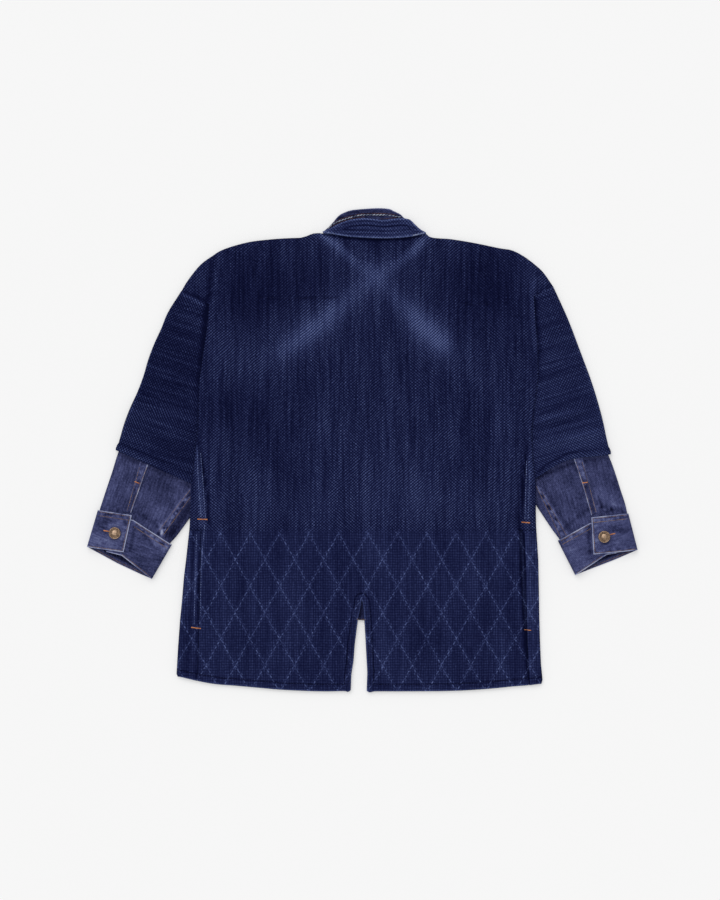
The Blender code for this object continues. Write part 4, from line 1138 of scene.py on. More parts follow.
# pale where worn and along the outer folds and shoulder seams, partly wear and partly painted highlight;
# painted highlight on crease ridges and painted shade in their troughs, in the groove behind each mouth and
# along each inner edge, in the shadow of the body's fold
sleeveWearAndShading = {
    "left": [([(-350, 20), (-300, -10), (-255, -38)], 16, [0.09, 0.09, 0.06]),
             ([(-368, 2), (-330, -14), (-300, -27), (-262, -46)], 3.2, [0.14, 0.12, 0.12, 0.08]),
             # painted shade in the groove behind the mouth
             ([(-366, 12), (-326, -6), (-296, -18), (-256, -36)], 1.8, [-0.12, -0.14, -0.14, -0.1]),
             ([(-272, 235.2), (-260, 229.3), (-248, 223), (-236, 217)], 1.8, [0.26, 0.28, 0.28, 0.2]),
             # painted shadow of the body's fold along the sleeve's inner edge
             ([(-233, 222), (-235, 200), (-240, 150), (-246, 106), (-248, 40)], 4,
              [-0.3, -0.28, -0.2, -0.1, -0.04]),
             ([(-292, 205), (-313, 158), (-337, 86), (-364, 14)], 2.4, [0.12, 0.12, 0.12, 0.10]),
             # painted highlight on the crease ridges and painted shade in the trough between
             ([(-318, 120), (-290, 108), (-258, 104)], 6, [0.05, 0.05, 0.03]),
             ([(-345, 60), (-310, 40), (-268, 28)], 6, [0.05, 0.06, 0.03]),
             ([(-330, 90), (-300, 74), (-262, 64)], 6, [-0.05, -0.06, -0.04])],
    # painted highlight on the crease ridges and painted shade in the trough between
    "right": [([(251, 39), (280, 49), (334, 61)], 2.6, [0.10, 0.16, 0.10]),
              ([(296, 16), (330, 24), (356, 28)], 2.6, [0.08, 0.14, 0.10]),
              ([(262, 32), (300, 41), (338, 52)], 4, [-0.06, -0.08, -0.04]),
              ([(280, 10), (350, 18)], 24, [0.09, 0.10]),
              # painted shade in the groove behind the mouth
              ([(262, -34), (275, -22), (308, -5), (340, -0.5), (370, 3)], 1.6,
               [-0.14, -0.2, -0.18, -0.14, -0.1]),
              ([(262, -44), (285, -28), (317, -14), (345, -9), (372, -5)], 3.6,
               [0.12, 0.14, 0.12, 0.10, 0.10]),
              ([(260, 231), (272, 237.2), (285, 244)], 1.8, [0.10, 0.16, 0.14]),
              # painted shadow of the body's fold along the sleeve's inner edge
              ([(258, 226), (261, 195), (265, 154), (265, 106)], 4, [-0.24, -0.2, -0.12, -0.06]),
              ([(306, 204), (332, 134), (355, 62), (370, 6)], 2.4, [0.12, 0.12, 0.12, 0.10])],
}


def makeSleeve(side, outPoints, inPoints, bow, fold, finish):
    outEdge, inEdge = track(outPoints), track(inPoints)
    rings = []
    for share in spread(sleeveCut["stations"], 0, 0.93) + sleeveCut["mouthStations"]:
        height = between(sleeveCut["height"], sleeveCut["mouthHeight"], ease((share - 0.62) / 0.22))
        swell = sleeveCut["roll"] * ease((share - 0.955) / 0.02) * (1 - 0.8 * ease((share - 0.988) / 0.012))
        swell -= sleeveCut["groove"] * exp(-((share - 0.952) / 0.006) ** 2)
        rings.append(ringPoints(outEdge(share), inEdge(share), 0.0, height,
                                bow * ease((share - 0.4) / 0.6), swell, sleeveCut["columns"]))
    return makeTube("sleeve" + side.capitalize(), rings, finish, sleeveCut["cloth"],
                    sleeveCreases[side], fold, "sleeve_" + side, sleeveWearAndShading[side])


forearmCreases = {
    "left": [([(-322, -72), (-308, -88), (-296, -116)], 7, 0.9),
             ([(-334, -62), (-322, -90), (-318, -112)], 5, -0.9),
             ([(-372, -62), (-366, -84)], 5, 0.7),
             ([(-360, -56), (-354, -84)], 4, -0.7),
             ([(-300, -60), (-282, -82)], 8, -0.8),
             ([(-306, -104), (-300, -124)], 3.5, 1.0),
             ([(-384, -50), (-362, -66)], 6, -0.5)],
    "right": [([(338, -52), (346, -76), (352, -90)], 4, -1.1),
              ([(352, -60), (366, -84)], 6, 0.9),
              ([(366, -78), (388, -88)], 5, -0.7),
              ([(300, -40), (318, -60), (322, -86)], 8, 0.8),
              ([(318, -96), (330, -84)], 5, -0.8),
              ([(290, -60), (304, -84)], 7, -0.7)],
}
# worn pale patches; pale along each felled seam, partly wear and partly painted highlight; painted shade
# beside the seam and in crease troughs, and the painted shadow of each sleeve's mouth across the top of its
# forearm
forearmWearAndShading = {
    "left": [([(-318, -84), (-300, -100)], 14, [0.08, 0.08]),
             ([(-304, -112), (-301, -124)], 3, [0.2, 0.25]),
             ([(-310, -54), (-296, -62)], 14, [-0.05, -0.05]),
             ([(-257.3, -57), (-280, -86.5), (-306.8, -121.5)], 1.6, [0.2, 0.2, 0.16]),
             # painted shade on the far side of the felled seam
             ([(-262, -86), (-272, -104), (-288, -128)], 6.5, [-0.18, -0.2, -0.2]),
             ([(-352, -88), (-320, -104), (-296, -124)], 3, [-0.1, -0.12, -0.12]),
             # painted shadow of the sleeve's mouth
             ([(-372, -4), (-320, -26), (-262, -54), (-238, -65)], 3, -0.1),
             ([(-372, -40), (-386, -80)], 5, [0.05, 0.05])],
    "right": [([(356, -64), (378, -74)], 14, [0.07, 0.07]),
              ([(300, -44), (312, -60)], 14, [0.02, 0.02]),
              ([(267.8, -58), (288, -94), (306.8, -126)], 1.6, [0.22, 0.22, 0.16]),
              ([(262, -72), (280, -104), (298, -138)], 5, [0.02, 0.04, 0.0]),
              # painted shade on the far side of the felled seam
              ([(272, -58), (296, -96), (314, -124)], 3.5, [-0.08, -0.1, -0.1]),
              ([(346, -84), (318, -104), (300, -122)], 3, [-0.1, -0.12, -0.12]),
              ([(354, -70), (360, -86), (390, -92)], 3, [-0.14, -0.18, -0.1]),
              ([(372, -80), (390, -84)], 3, [0.14, 0.12]),
              # painted shadow of the sleeve's mouth
              ([(240, -58), (268, -39), (310, -21), (345, -14), (374, -12)], 3.4,
               [-0.14, -0.22, -0.2, -0.14, -0.1])],
}
forearmPuckers = {
    "left": [([(-256.5, -64), (-279, -93), (-301.5, -126)], 3, 0.3),
             ([(-296, -118), (-306, -126)], 4, 0.3)],
    "right": [([(263.5, -56), (283, -92), (303, -133)], 3, 0.3),
              ([(354, -86), (372, -90)], 4, 0.22)],
}


def ringAt(stations, share):
    run = share * (len(stations) - 1)
    k = min(len(stations) - 2, int(run))
    t = run - k
    around = [stations[max(0, min(len(stations) - 1, k + d))] for d in (-1, 0, 1, 2)]

    def soft(values):
        a, b, c, d = values
        return 0.5 * (2 * b + (c - a) * t + (2 * a - 5 * b + 4 * c - d) * t * t
                      + (3 * b - a - 3 * c + d) * t ** 3)

    outer = tuple(soft([s[0][axis] for s in around]) for axis in (0, 1))
    inner = tuple(soft([s[1][axis] for s in around]) for axis in (0, 1))
    return outer, inner, *(between(stations[k][i], stations[k + 1][i], ease(t)) for i in (2, 3, 4))


def makeForearm(side, stations, fold, finish):
    rings = [ringPoints(*ringAt(stations, share), 0.0, forearmCut["columns"])
             for share in spread(forearmCut["stations"])]
    return makeTube("forearm" + side.capitalize(), rings, finish, forearmCut["cloth"],
                    forearmCreases[side], fold, "forearm_" + side, forearmWearAndShading[side],
                    forearmPuckers[side])


sleeveLeft = makeSleeve("left", sleeveOutLeft, sleeveInLeft, 0.0, foldLeft, sleeveClothLeft)
sleeveRight = makeSleeve("right", sleeveOutRight, sleeveInRight, 14.0, foldRight, sleeveClothRight)
forearmLeft = makeForearm("left", forearmRingsLeft, foldLeft, forearmDenimLeft)
forearmRight = makeForearm("right", forearmRingsRight, foldRight, forearmDenimRight)
print("stage: sleeves made")


# the height of the top of some pieces, looked up from straight above
def topSurface(pieces):
    verts, faces = [], []
    for piece in pieces:
        base = len(verts)
        verts += [v.co.copy() for v in piece.data.vertices]
        faces += [[base + i for i in p.vertices] for p in piece.data.polygons]
    tree = BVHTree.FromPolygons(verts, faces)

    def top(x, y):
        hit = tree.ray_cast(Vector((x * mm, y * mm, 0.08)), Vector((0, 0, -1)))
        return hit[0].z / mm if hit[0] is not None else 0.0

    return top


# plackets and cuffs; each placket is (left edge, right edge)
placketCut = {"cloth": 0.8, "underSleeve": 0.05, "lift": 0.75, "dome": 0.3}
placketEdges = {
    "left": ([(-333.2, -15), (-336, -25), (-345, -57), (-354.8, -92.5)],
             [(-318.4, -14), (-322.4, -24), (-334.5, -58), (-347, -94)]),
    "right": ([(316.2, -9), (318, -16), (331, -56), (343, -98)],
              [(329.8, -8), (330.8, -15), (341, -52), (352, -94)]),
}
cuffCut = {"cloth": 2.0, "height": 10.0, "lapGap": 0.35, "lapRun": 0.16, "fold": 7.5}
cuffEdges = {
    "left": {"flapTop": [(0, -397.2, -90), (0.44, -345.8, -97.7)],
             "flapLow": [(0, -413.6, -145.4), (0.22, -386, -149.4), (0.44, -358, -153)],
             "overTop": [(0, -397.2, -90), (0.46, -343.5, -105), (1, -286, -142)],
             "overLow": [(0, -413.6, -145.4), (0.5, -361, -158.3), (1, -316, -193.8)],
             "underTop": [(0, -397.2, -90), (1, -286, -142)],
             "underLow": [(0, -413.6, -145.4), (0.4, -368, -170), (0.76, -334, -186), (1, -316, -193.6)]},
    "right": {"flapTop": [(0, 399, -95), (0.5, 343, -101)],
              "flapLow": [(0, 413, -150), (0.27, 385, -153), (0.5, 346, -156.5)],
              "overTop": [(0, 399, -95), (0.55, 340, -110), (1, 293, -136)],
              "overLow": [(0, 413, -150), (0.5, 366, -157), (1, 319.3, -188)],
              "underTop": [(0, 399, -95), (1, 293, -136)],
              "underLow": [(0, 413, -150), (0.35, 378, -165), (0.74, 344, -178), (1, 319.3, -188)]},
}
# paler on crease ridges and darker beside them, partly wear and partly painted light and shade; painted
# shadow of each flap's end on the cuff beside it
cuffWearAndShading = {
    "left": [([(-400, -132), (-376, -140), (-368, -116)], 12, [0.2, 0.18, 0.15]),
             ([(-378, -112), (-362, -108)], 4, [0.18, 0.2]),
             ([(-386, -106), (-356, -110)], 3, [-0.1, -0.12]),
             ([(-322, -124), (-310, -140)], 4, [0.14, 0.2]),
             ([(-336, -118), (-316, -140)], 3, [-0.12, -0.16]),
             ([(-300, -150), (-292, -146)], 4, [0.16, 0.12]),
             ([(-334, -160), (-318, -176)], 10, [-0.04, -0.04]),
             # painted shadow of the flap's end
             ([(-341, -112), (-348, -150)], 3, [-0.14, -0.16])],
    "right": [([(360, -108), (392, -106)], 4, [0.14, 0.10]),
              ([(382, -138), (398, -130)], 8, [0.06, 0.05]),
              ([(330, -120), (310, -134)], 4, [0.12, 0.12]),
              ([(350, -112), (352, -150)], 4, [0.10, 0.08]),
              ([(370, -118), (392, -122)], 4, [-0.12, -0.12]),
              # painted shadow of the flap's end
              ([(338, -116), (341, -154)], 3, [-0.18, -0.2]),
              ([(318, -150), (330, -170)], 8, [0.03, 0.03])],
}
cuffPuckers = {
    "left": [([(-394, -94), (-348, -101)], 4, 0.16), ([(-340, -111), (-290, -146)], 4.5, 0.2),
             ([(-408, -143), (-360, -150)], 3, 0.12), ([(-352, -104), (-362, -148)], 3, 0.14)],
    "right": [([(397, -100), (347, -105)], 4, 0.18), ([(336, -116), (296, -140)], 4.5, 0.18),
              ([(410, -147), (350, -153)], 3, 0.12), ([(348, -106), (351, -152)], 3, 0.16)],
}
cuffCreases = {
    "left": [([(-372, -104), (-374, -114)], 3, 0.7), ([(-366, -104), (-362, -114)], 3, 0.7),
             ([(-322, -122), (-312, -140)], 4, 0.8), ([(-326, -128), (-318, -146)], 3, -0.7),
             ([(-300, -140), (-292, -150)], 4, 0.6), ([(-335, -150), (-320, -165)], 7, 0.6),
             ([(-395, -118), (-386, -138)], 7, 0.5)],
    "right": [([(385, -103), (370, -106)], 4, 0.6), ([(330, -119), (312, -133)], 3.5, 0.8),
              ([(334, -126), (314, -140)], 3.5, -0.7), ([(388, -112), (372, -118)], 5, -0.5),
              ([(392, -130), (380, -146)], 6, 0.6), ([(325, -150), (333, -168)], 7, 0.6)],
}


def makePlacket(side, forearm, finish):
    left, right = (track(points) for points in placketEdges[side])
    under = topSurface([forearm])
    rows = []
    for v in spread(34):
        risen = ease((v - 0.1) / 0.12)
        lift = between(placketCut["underSleeve"], placketCut["lift"], risen)
        slit = ease((v - 0.42) / 0.05)
        row = []
        for u in (0, 0.06, 0.16, 0.28, 0.42, 0.58, 0.72, 0.84, 0.94, 1):
            place = left(v).lerp(right(v), u)
            dome = placketCut["dome"] * (1 - (2 * u - 1) ** 6 - exp(-((u - 0.5) / 0.12) ** 2) * slit)
            row.append((*place, under(*place) + placketCut["cloth"] + lift + dome * risen))
        rows.append(row)
    bm = bmesh.new()
    gridFaces(bm, rows)
    worn, soft = (placketEdges[side][1], placketEdges[side][0])[::1 if side == "left" else -1]
    middle = [((a[0] + b[0]) / 2, (a[1] + b[1]) / 2) for a, b in zip(worn, soft)]
    head = between(Vector(middle[1]), Vector(middle[2]), 0.55)
    # pale along the soft edge and over the head; painted shade down the slit below the head
    strokes = [(soft, 1.4, 0.14), ([middle[1], head], 3.5, [0.14, 0.1]), (middle[2:], 1.4, -0.08)]
    strokes = [([tuple(q) for q in points], width, strength) for points, width, strength in strokes]
    return finishPiece("placket" + side.capitalize(), bm, finish, placketCut["cloth"], True, None, None,
                       ["placket_" + side], strokes, [worn], [(middle[:3], 5, 0.14)])


# the cuff starts under its flap, goes round, and ends as the flap on top
def makeCuff(side, finish):
    edges = cuffEdges[side]
    cloth, height = cuffCut["cloth"], cuffCut["height"]
    span = Vector(edges["underTop"][0][1:]) - Vector(edges["underTop"][-1][1:])
    radius = height / 2
    nook = radius / span.length
    lap = height + cloth + cuffCut["lapGap"]
    flapEnd = edges["flapTop"][-1][0]
    stations = [("over", s, height) for s in spread(40, flapEnd - cuffCut["lapRun"], 1 - nook)]
    for out, up in roundSteps(70, 50, 25, 0, -25, -50, -70):
        layer = "over" if up > 0 else "under"
        stations.append((layer, 1 - nook * (1 - out), radius * (1 + up)))
    stations += [("under", s, 0.0) for s in spread(26, 1 - nook, nook)]
    for out, up in roundSteps(-70, -50, -25, 0, 25, 50, 70):
        layer = "flap" if up > 0 else "under"
        stations.append((layer, nook * (1 - out), radius * (1 + up)))
    rise = [(nook, height), (flapEnd * 0.3, height + 1.2), (flapEnd - 0.21, lap), (flapEnd, lap)]
    for share in spread(30, nook, flapEnd - 0.02) + [flapEnd - 0.012, flapEnd - 0.005, flapEnd]:
        z = rise[-1][1]
        for (s0, z0), (s1, z1) in zip(rise, rise[1:]):
            if s0 <= share <= s1:
                z = between(z0, z1, ease((share - s0) / (s1 - s0)))
                break
        stations.append(("flap", share, z))
    downs = [0, 0.012, 0.035, 0.07, 0.11, 0.15, 0.2] + spread(16, 0.24, 0.9) + [0.93, 0.965, 0.988, 1]
    columns = []
    for layer, share, z in stations:
        head = byShare(edges[layer + "Top"], share)
        foot = byShare(edges[layer + "Low"], share)
        columns.append([(*head.lerp(foot, t), z) for t in downs])
    bm = bmesh.new()
    edgeLayer = bm.verts.layers.float.new("edge")
    columnVerts = gridFaces(bm, columns)

    # each layer is worn only along its own free edges
    free = {"flap": [[q[1:] for q in edges["flapTop"]], [q[1:] for q in edges["flapLow"]],
                     [edges["flapTop"][-1][1:], edges["flapLow"][-1][1:]]],
            "over": [[q[1:] for q in edges["overTop"]], [q[1:] for q in edges["overLow"]]],
            "under": [[q[1:] for q in edges["underLow"]]]}
    for (layer, share, z), column, verts in zip(stations, columns, columnVerts):
        for vert, away in zip(verts, edgeValues(free[layer], np.array(column))):
            vert[edgeLayer] = away
    creases = cuffCreases[side]

    def relief(x, y, z):
        if z < cuffCut["fold"]:
            return 0.0
        return creaseLift(creases, x, y) * ease((z - cuffCut["fold"]) / (cuffCut["height"] - cuffCut["fold"]))

    return finishPiece("cuff" + side.capitalize(), bm, finish, cloth, True, relief, None,
                       ["cuff_" + side], cuffWearAndShading[side], (), cuffPuckers[side], insideDenim)


placketLeft = makePlacket("left", forearmLeft, forearmDenimLeft)
placketRight = makePlacket("right", forearmRight, forearmDenimRight)
cuffLeft = makeCuff("left", cuffDenimLeft)
cuffRight = makeCuff("right", cuffDenimRight)
print("stage: cuffs made")


# collar: a ribbed sashiko band over a denim collar
collarCut = {"cloth": 3.2, "ribHeight": 0.5, "grooveWidth": 0.045, "footGap": 0.55, "headLevel": 7.8,
             "restGap": 0.35, "innerFoot": 4.4, "innerSwell": 0.3}
bandLow = [(-58, 326), (-41.6, 323), (-22.4, 320.1), (6.5, 318), (35.3, 317.3), (57.8, 318.2),
           (75.3, 320.4), (88, 323.2), (95, 325.3)]
bandTop = [(-60, 327.6), (-44.7, 334.5), (-32, 341), (-19.2, 345.2), (-6.3, 347), (3.3, 347.6), (16, 346.5),
           (27.3, 345), (35.3, 345), (44.9, 346.5), (57.6, 347.6), (65.7, 347), (72, 345), (78.5, 338.6),
           (86.4, 331.4), (95, 326.4)]
collarLow = [(-57.5, 325.8), (-29, 325.2), (22, 323.6), (60, 323.6), (90, 325.6)]
collarTop = [(-59.3, 327.3), (-51.2, 334.5), (-44.7, 341.3), (-35.3, 352), (-25.5, 357.2), (-15.9, 360.2),
             (-4.8, 361.4), (6.5, 362.3), (19.2, 363), (30.5, 362.9), (40.8, 361.7), (46.5, 359), (52, 356.4),
             (57.6, 353.4), (62.4, 348.5), (80, 336), (93, 327)]
ropeRow = [(-52.5, 332), (-44.7, 338.6), (-33.6, 344.1), (-15.9, 349.7), (-6.3, 352), (3.3, 353), (22.5, 353),
           (38.4, 352.5), (51.3, 350.6), (57.8, 349.5)]
bandGrooves = [(0.2, 0.12, 0.9), (0.42, 0.1, 0.92), (0.64, 0.14, 0.9), (0.84, 0.2, 0.72)]


def makeCollar():
    low, top = track(bandLow), track(bandTop)
    rows = []
    for v in spread(44):
        z = between(bodyCut["plateau"] + collarCut["footGap"] + collarCut["cloth"], collarCut["headLevel"],
                    ease(v))
        row = []
        for u in spread(70):
            taper = min(1.0, 7 * u, 7 * (1 - u))
            sunk = sum(exp(-((v - groove[0]) / collarCut["grooveWidth"]) ** 2) for groove in bandGrooves)
            row.append((*low(u).lerp(top(u), v), z + collarCut["ribHeight"] * (0.4 - sunk) * taper))
        rows.append(row)
    bm = bmesh.new()
    gridFaces(bm, rows)
    # painted shade along the band's grooves; paler along its top and its foot
    strokes = [([tuple(low(u).lerp(top(u), share + 0.02 * sin(17 * u))) for u in spread(14, start, end)],
                1.2, -0.17) for share, start, end in bandGrooves]
    strokes += [(bandTop[3:12], 1.6, 0.12), (bandLow, 2.4, 0.1)]
    band = finishPiece("collarBand", bm, collarCloth, collarCut["cloth"], True, None,
                       lambda x, y: collarCut["restGap"] + (bodyCut["plateau"] if y < 325.5
                                                            else collarCut["cloth"]),
                       ["collar_band"], strokes, [bandLow, bandTop])
    low, top = track(collarLow), track(collarTop)
    rows = []
    for v in spread(26):
        z = between(collarCut["innerFoot"], collarCut["cloth"], ease(v))
        z += collarCut["innerSwell"] * sin(pi * v)
        rows.append([(*low(u).lerp(top(u), v), z) for u in spread(70)])
    bm = bmesh.new()
    gridFaces(bm, rows)
    inner = finishPiece("collarInner", bm, collarDenim, collarCut["cloth"], True, None, lambda x, y: 0.0,
                        ["collar_inner"], [(ropeRow, 2.6, -0.12)], [collarTop])
    return band, inner


collarBand, collarInner = makeCollar()
print("stage: collar made")

# sewing is laid on the top of all the cloth
topOf = topSurface([o for o in scene.objects if o.type == "MESH" and "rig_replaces" in o])


# sewing: one stitch is modelled, and each row is made of copies laid on the cloth
bpy.ops.mesh.primitive_uv_sphere_add(segments=6, ring_count=4, radius=0.5, enter_editmode=True)
bpy.ops.mesh.select_all(action="SELECT")
bpy.ops.transform.rotate(value=pi / 2, orient_axis="Y", center_override=(0, 0, 0))
bpy.ops.transform.resize(value=(1.0, 1.0, 0.7), center_override=(0, 0, 0))
bpy.ops.object.mode_set(mode="OBJECT")
stitchModel = bpy.context.object
stitchVerts = [v.co.copy() for v in stitchModel.data.vertices]
stitchFaces = [list(p.vertices) for p in stitchModel.data.polygons]
bpy.data.objects.remove(stitchModel, do_unlink=True)
stitchReach = 0.4  # the share of a stitch's length from its middle to where each end is laid down
stitchLift = 0.12  # the share of its width by which it stands up from the cloth


# each run is (points, pitch, length, width, turn of each stitch in degrees)
def sew(name, runs, thread, slotName):
    verts, faces = [], []
    for points, pitch, length, width, turn in runs:
        line = track(points, soft=len(points) > 2)
        count = max(1, round(line.length / pitch))
        for k in range(count):
            centre = line((k + 0.5) / count)
            before, after = line((k + 0.3) / count), line((k + 0.7) / count)
            heading = atan2(after.y - before.y, after.x - before.x) + radians(turn)
            reach = Vector((cos(heading), sin(heading))) * length * stitchReach
            z0, z1 = topOf(*(centre - reach)), topOf(*(centre + reach))
            z = max(topOf(centre.x, centre.y), (z0 + z1) / 2)
            along = Vector((2 * reach.x, 2 * reach.y, max(-1.0, min(1.0, z1 - z0)))).normalized()
            side = Vector((-along.y, along.x, 0)).normalized()
            up = along.cross(side)
            base = len(verts)
            for v in stitchVerts:
                p = along * v.x * length + side * v.y * width + up * v.z * width
                height = z + width * stitchLift + p.z
                verts.append(((centre.x + p.x) * mm, (centre.y + p.y) * mm, height * mm))
            faces += [[base + i for i in f] for f in stitchFaces]
    mesh = bpy.data.meshes.new(name)
    mesh.from_pydata(verts, [], faces)
    mesh.polygons.foreach_set("use_smooth", [True] * len(mesh.polygons))
    mesh.materials.append(thread)
    piece = bpy.data.objects.new(name, mesh)
    scene.collection.objects.link(piece)
    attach(piece, "root")
    return piece


def shifted(points, dx, dy):
    return [(x + dx, y + dy) for x, y in points]


# pitch, length, width and turn of the stitches in each kind of row
stitch = {
    "hem": (4.2, 3.2, 1.0, 0),
    "vent": (4.0, 3.0, 1.0, 0),
    "yoke": (4.4, 2.6, 0.7, 0),
    "denim": (2.3, 1.9, 0.8, 0),
    "arm": (2.5, 2.0, 0.8, 0),
    "cuff": (2.4, 2.0, 0.9, 0),
    "collar": (2.8, 2.4, 1.0, 0),
}


# a bar tack: close stitches, each turned across the row
def tack(start, end, width):
    return [([start, end], 0.75, width, 0.95, 90)]


bandFoot = [(x, y + 1.1) for x, y in bandLow]

# each row of the table is (piece, runs, thread, slot)
sewingRows = [
    ("hemStitching", [
        (shifted(hemLeft, 0, 10.5), *stitch["hem"]),
        (shifted(hemRight, 0, 10.5), *stitch["hem"]),
        ([(-5.5, -226)] + shifted(ventLeft[2:-1], -3.5, 0) + [(-20.5, -357)], *stitch["vent"]),
        ([(-5.4, -212)] + shifted(ventLeft[2:-1], -9, 0) + [(-26.5, -350)], *stitch["vent"]),
        ([(1.5, -226)] + shifted(ventRight[2:-1], 3.5, 0) + [(10, -357)], *stitch["vent"]),
        ([(2.6, -212)] + shifted(ventRight[2:-1], 9, 0) + [(15.5, -350)], *stitch["vent"]),
    ], indigoThread, "sashiko_cloth"),
    ("stripHemStitchingLeft", [([(-276, -330.5), (-250.5, -336)], *stitch["hem"])],
     indigoThread, "sashiko_cloth"),
    ("stripHemStitchingRight", [([(253, -341.5), (267, -338)], *stitch["hem"])],
     indigoThread, "sashiko_cloth"),
    ("yokeStitching", [(seam, *stitch["yoke"]) for seam in yokeSeams], indigoThread, "sashiko_cloth"),
    ("sideSeamStitching", [
        ([(-247.6, 5), (-245.9, -45), (-243, -82.5), (-241.5, -101)], 3.8, 3.0, 1.3, 0),
        ([(-242.6, -4), (-239.3, -45), (-236.8, -82.5), (-235.4, -101)], 3.8, 3.0, 1.3, 0),
        ([(246, -16), (244.5, -60), (243.4, -104)], 3.8, 3.0, 1.2, 0),
        ([(251, -30), (249.6, -60), (248.4, -104)], 4.2, 3.0, 1.1, 0),
        ([(-236.5, -112), (-240.4, -156), (-242.2, -196), (-243.4, -250)], 3.8, 2.8, 1.1, 0),
    ], paleThread, "sashiko_cloth"),
    ("stripStitchingLeft", [([(-249, -126), (-250.8, -200), (-252.6, -262)], 4.0, 2.8, 1.0, 0)],
     paleThread, "sashiko_cloth"),
    ("stripStitchingRight", [([(250.5, -128), (254, -200), (256.5, -262)], 4.4, 3.0, 0.9, 0)],
     indigoThread, "sashiko_cloth"),
    ("sideBarTacks", tack((-247.5, -103.5), (-232.5, -104.2), 1.9)
     + tack((238.5, -108.2), (251, -109.2), 2.0), orangeThread, "sashiko_cloth"),
    ("stripBarTackLeft", tack((-257, -266), (-242.5, -268), 1.8), orangeThread, "sashiko_cloth"),
    ("stripBarTackRight", tack((243, -269.6), (253, -270.6), 1.4), orangeThread, "sashiko_cloth"),
    ("placketBarTackLeft", tack((-341.8, -47.2), (-334.6, -50.2), 1.7), orangeThread, "denim"),
    ("placketBarTackRight", tack((329.6, -49.4), (337.6, -48.6), 1.7), orangeThread, "denim"),
    ("frontEdgeStitching", [([(-9, -253.6), (5, -254.6)], 2.2, 1.9, 1.0, 0)], goldThread, "denim"),

    # the collar: a rope of cream cord between brown rows, and a twisted row along the band's foot
    ("collarRope", [(ropeRow, 4.8, 5.2, 1.6, 16)], creamThread, "denim"),
    ("collarStitching", [
        ([(-48.5, 336), (-39.9, 343.3), (-25.5, 348.9), (-9.6, 352.9), (3.3, 354.9), (22.5, 355.4),
          (40, 354.4), (52.8, 352.7)], *stitch["collar"]),
        ([(-52.5, 331), (-44.7, 336.6), (-28.8, 343.4), (-12.8, 348.2), (3.3, 350.2)], *stitch["collar"]),
        ([(27, 346.9), (51, 348.9)], *stitch["collar"]),
    ], brownThread, "denim"),
    ("bandStitching", [(bandFoot, 2.7, 3.0, 1.2, -34)], paleThread, "sashiko_cloth"),
    ("bandEndStitching", [(bandFoot[:2], 2.7, 3.0, 1.1, -34), (bandFoot[-3:], 2.7, 3.0, 1.2, 34)],
     creamThread, "sashiko_cloth"),

    # golden rows beside the placket edges and along the felled seam under each arm
    ("placketStitchingLeft", [
        ([(-323.6, -26), (-335.9, -58), (-348.3, -93)], *stitch["denim"]),
        ([(-334.6, -26), (-343.4, -58), (-353, -91)], *stitch["denim"]),
    ], goldThread, "denim"),
    ("placketStitchingRight", [
        ([(319.8, -17.5), (332.4, -56), (344.3, -96)], *stitch["denim"]),
        ([(329.2, -17.5), (339.4, -52), (350.3, -93)], *stitch["denim"]),
    ], goldThread, "denim"),
    ("armSeamStitchingLeft", [
        ([(-258.6, -60), (-281, -88.5), (-305.8, -122.5)], *stitch["arm"]),
        ([(-257.2, -69.5), (-277.4, -97.5), (-299, -128)], *stitch["arm"]),
    ], goldThread, "denim"),
    ("armSeamStitchingRight", [
        ([(260.2, -54), (279, -92), (299.3, -136.5)], *stitch["arm"]),
        ([(268.6, -62), (287, -95), (306, -128)], *stitch["arm"]),
    ], goldThread, "denim"),
]


# a row of sewing on a cuff, some millimetres in from its top or lower edge
def cuffRow(side, layer, fromTop, start, end, inset):
    edges = cuffEdges[side]
    points = []
    for share in spread(10, start, end):
        head, foot = byShare(edges[layer + "Top"], share), byShare(edges[layer + "Low"], share)
        t = inset / (foot - head).length
        points.append(tuple(head.lerp(foot, t if fromTop else 1 - t)))
    return points


# eight rows on each cuff, and the stitches round its buttonhole
buttonholes = {"left": [(-388, -120.6), (-379.5, -122)], "right": [(371, -126.6), (378.6, -125)]}
for side, flapEnd, outward in (("left", 0.44, -1), ("right", 0.5, 1)):
    ends = cuffEdges[side]
    flapSpan, overSpan = (0.03, flapEnd - 0.02), (flapEnd + 0.06, 0.97)
    head, foot = Vector(ends["flapTop"][-1][1:]), Vector(ends["flapLow"][-1][1:])
    flapSide = [tuple(head.lerp(foot, t) + Vector((outward * 2.3, 0))) for t in (0.04, 0.5, 0.96)]
    under = [tuple(byShare(ends["underLow"], share) + Vector((0, 2.8))) for share in spread(8, 0.12, 0.9)]
    lines = [cuffRow(side, layer, fromTop, *span, inset) for layer, fromTop, span, inset in (
        ("flap", True, flapSpan, 2.0), ("flap", True, flapSpan, 8.0), ("over", True, overSpan, 2.0),
        ("over", True, overSpan, 8.0), ("flap", False, flapSpan, 2.0), ("over", False, overSpan, 2.0))]
    sewingRows.append(("cuffStitching" + side.capitalize(),
                       [(line, *stitch["cuff"]) for line in lines + [under, flapSide]], goldThread, "denim"))
    sewingRows.append(("buttonhole" + side.capitalize(), [(buttonholes[side], 0.8, 2.0, 0.9, 90)],
                       orangeThread, "denim"))
sewing = {name: sew(name, runs, thread, slotName) for name, runs, thread, slotName in sewingRows}
print("stage: sewing made")


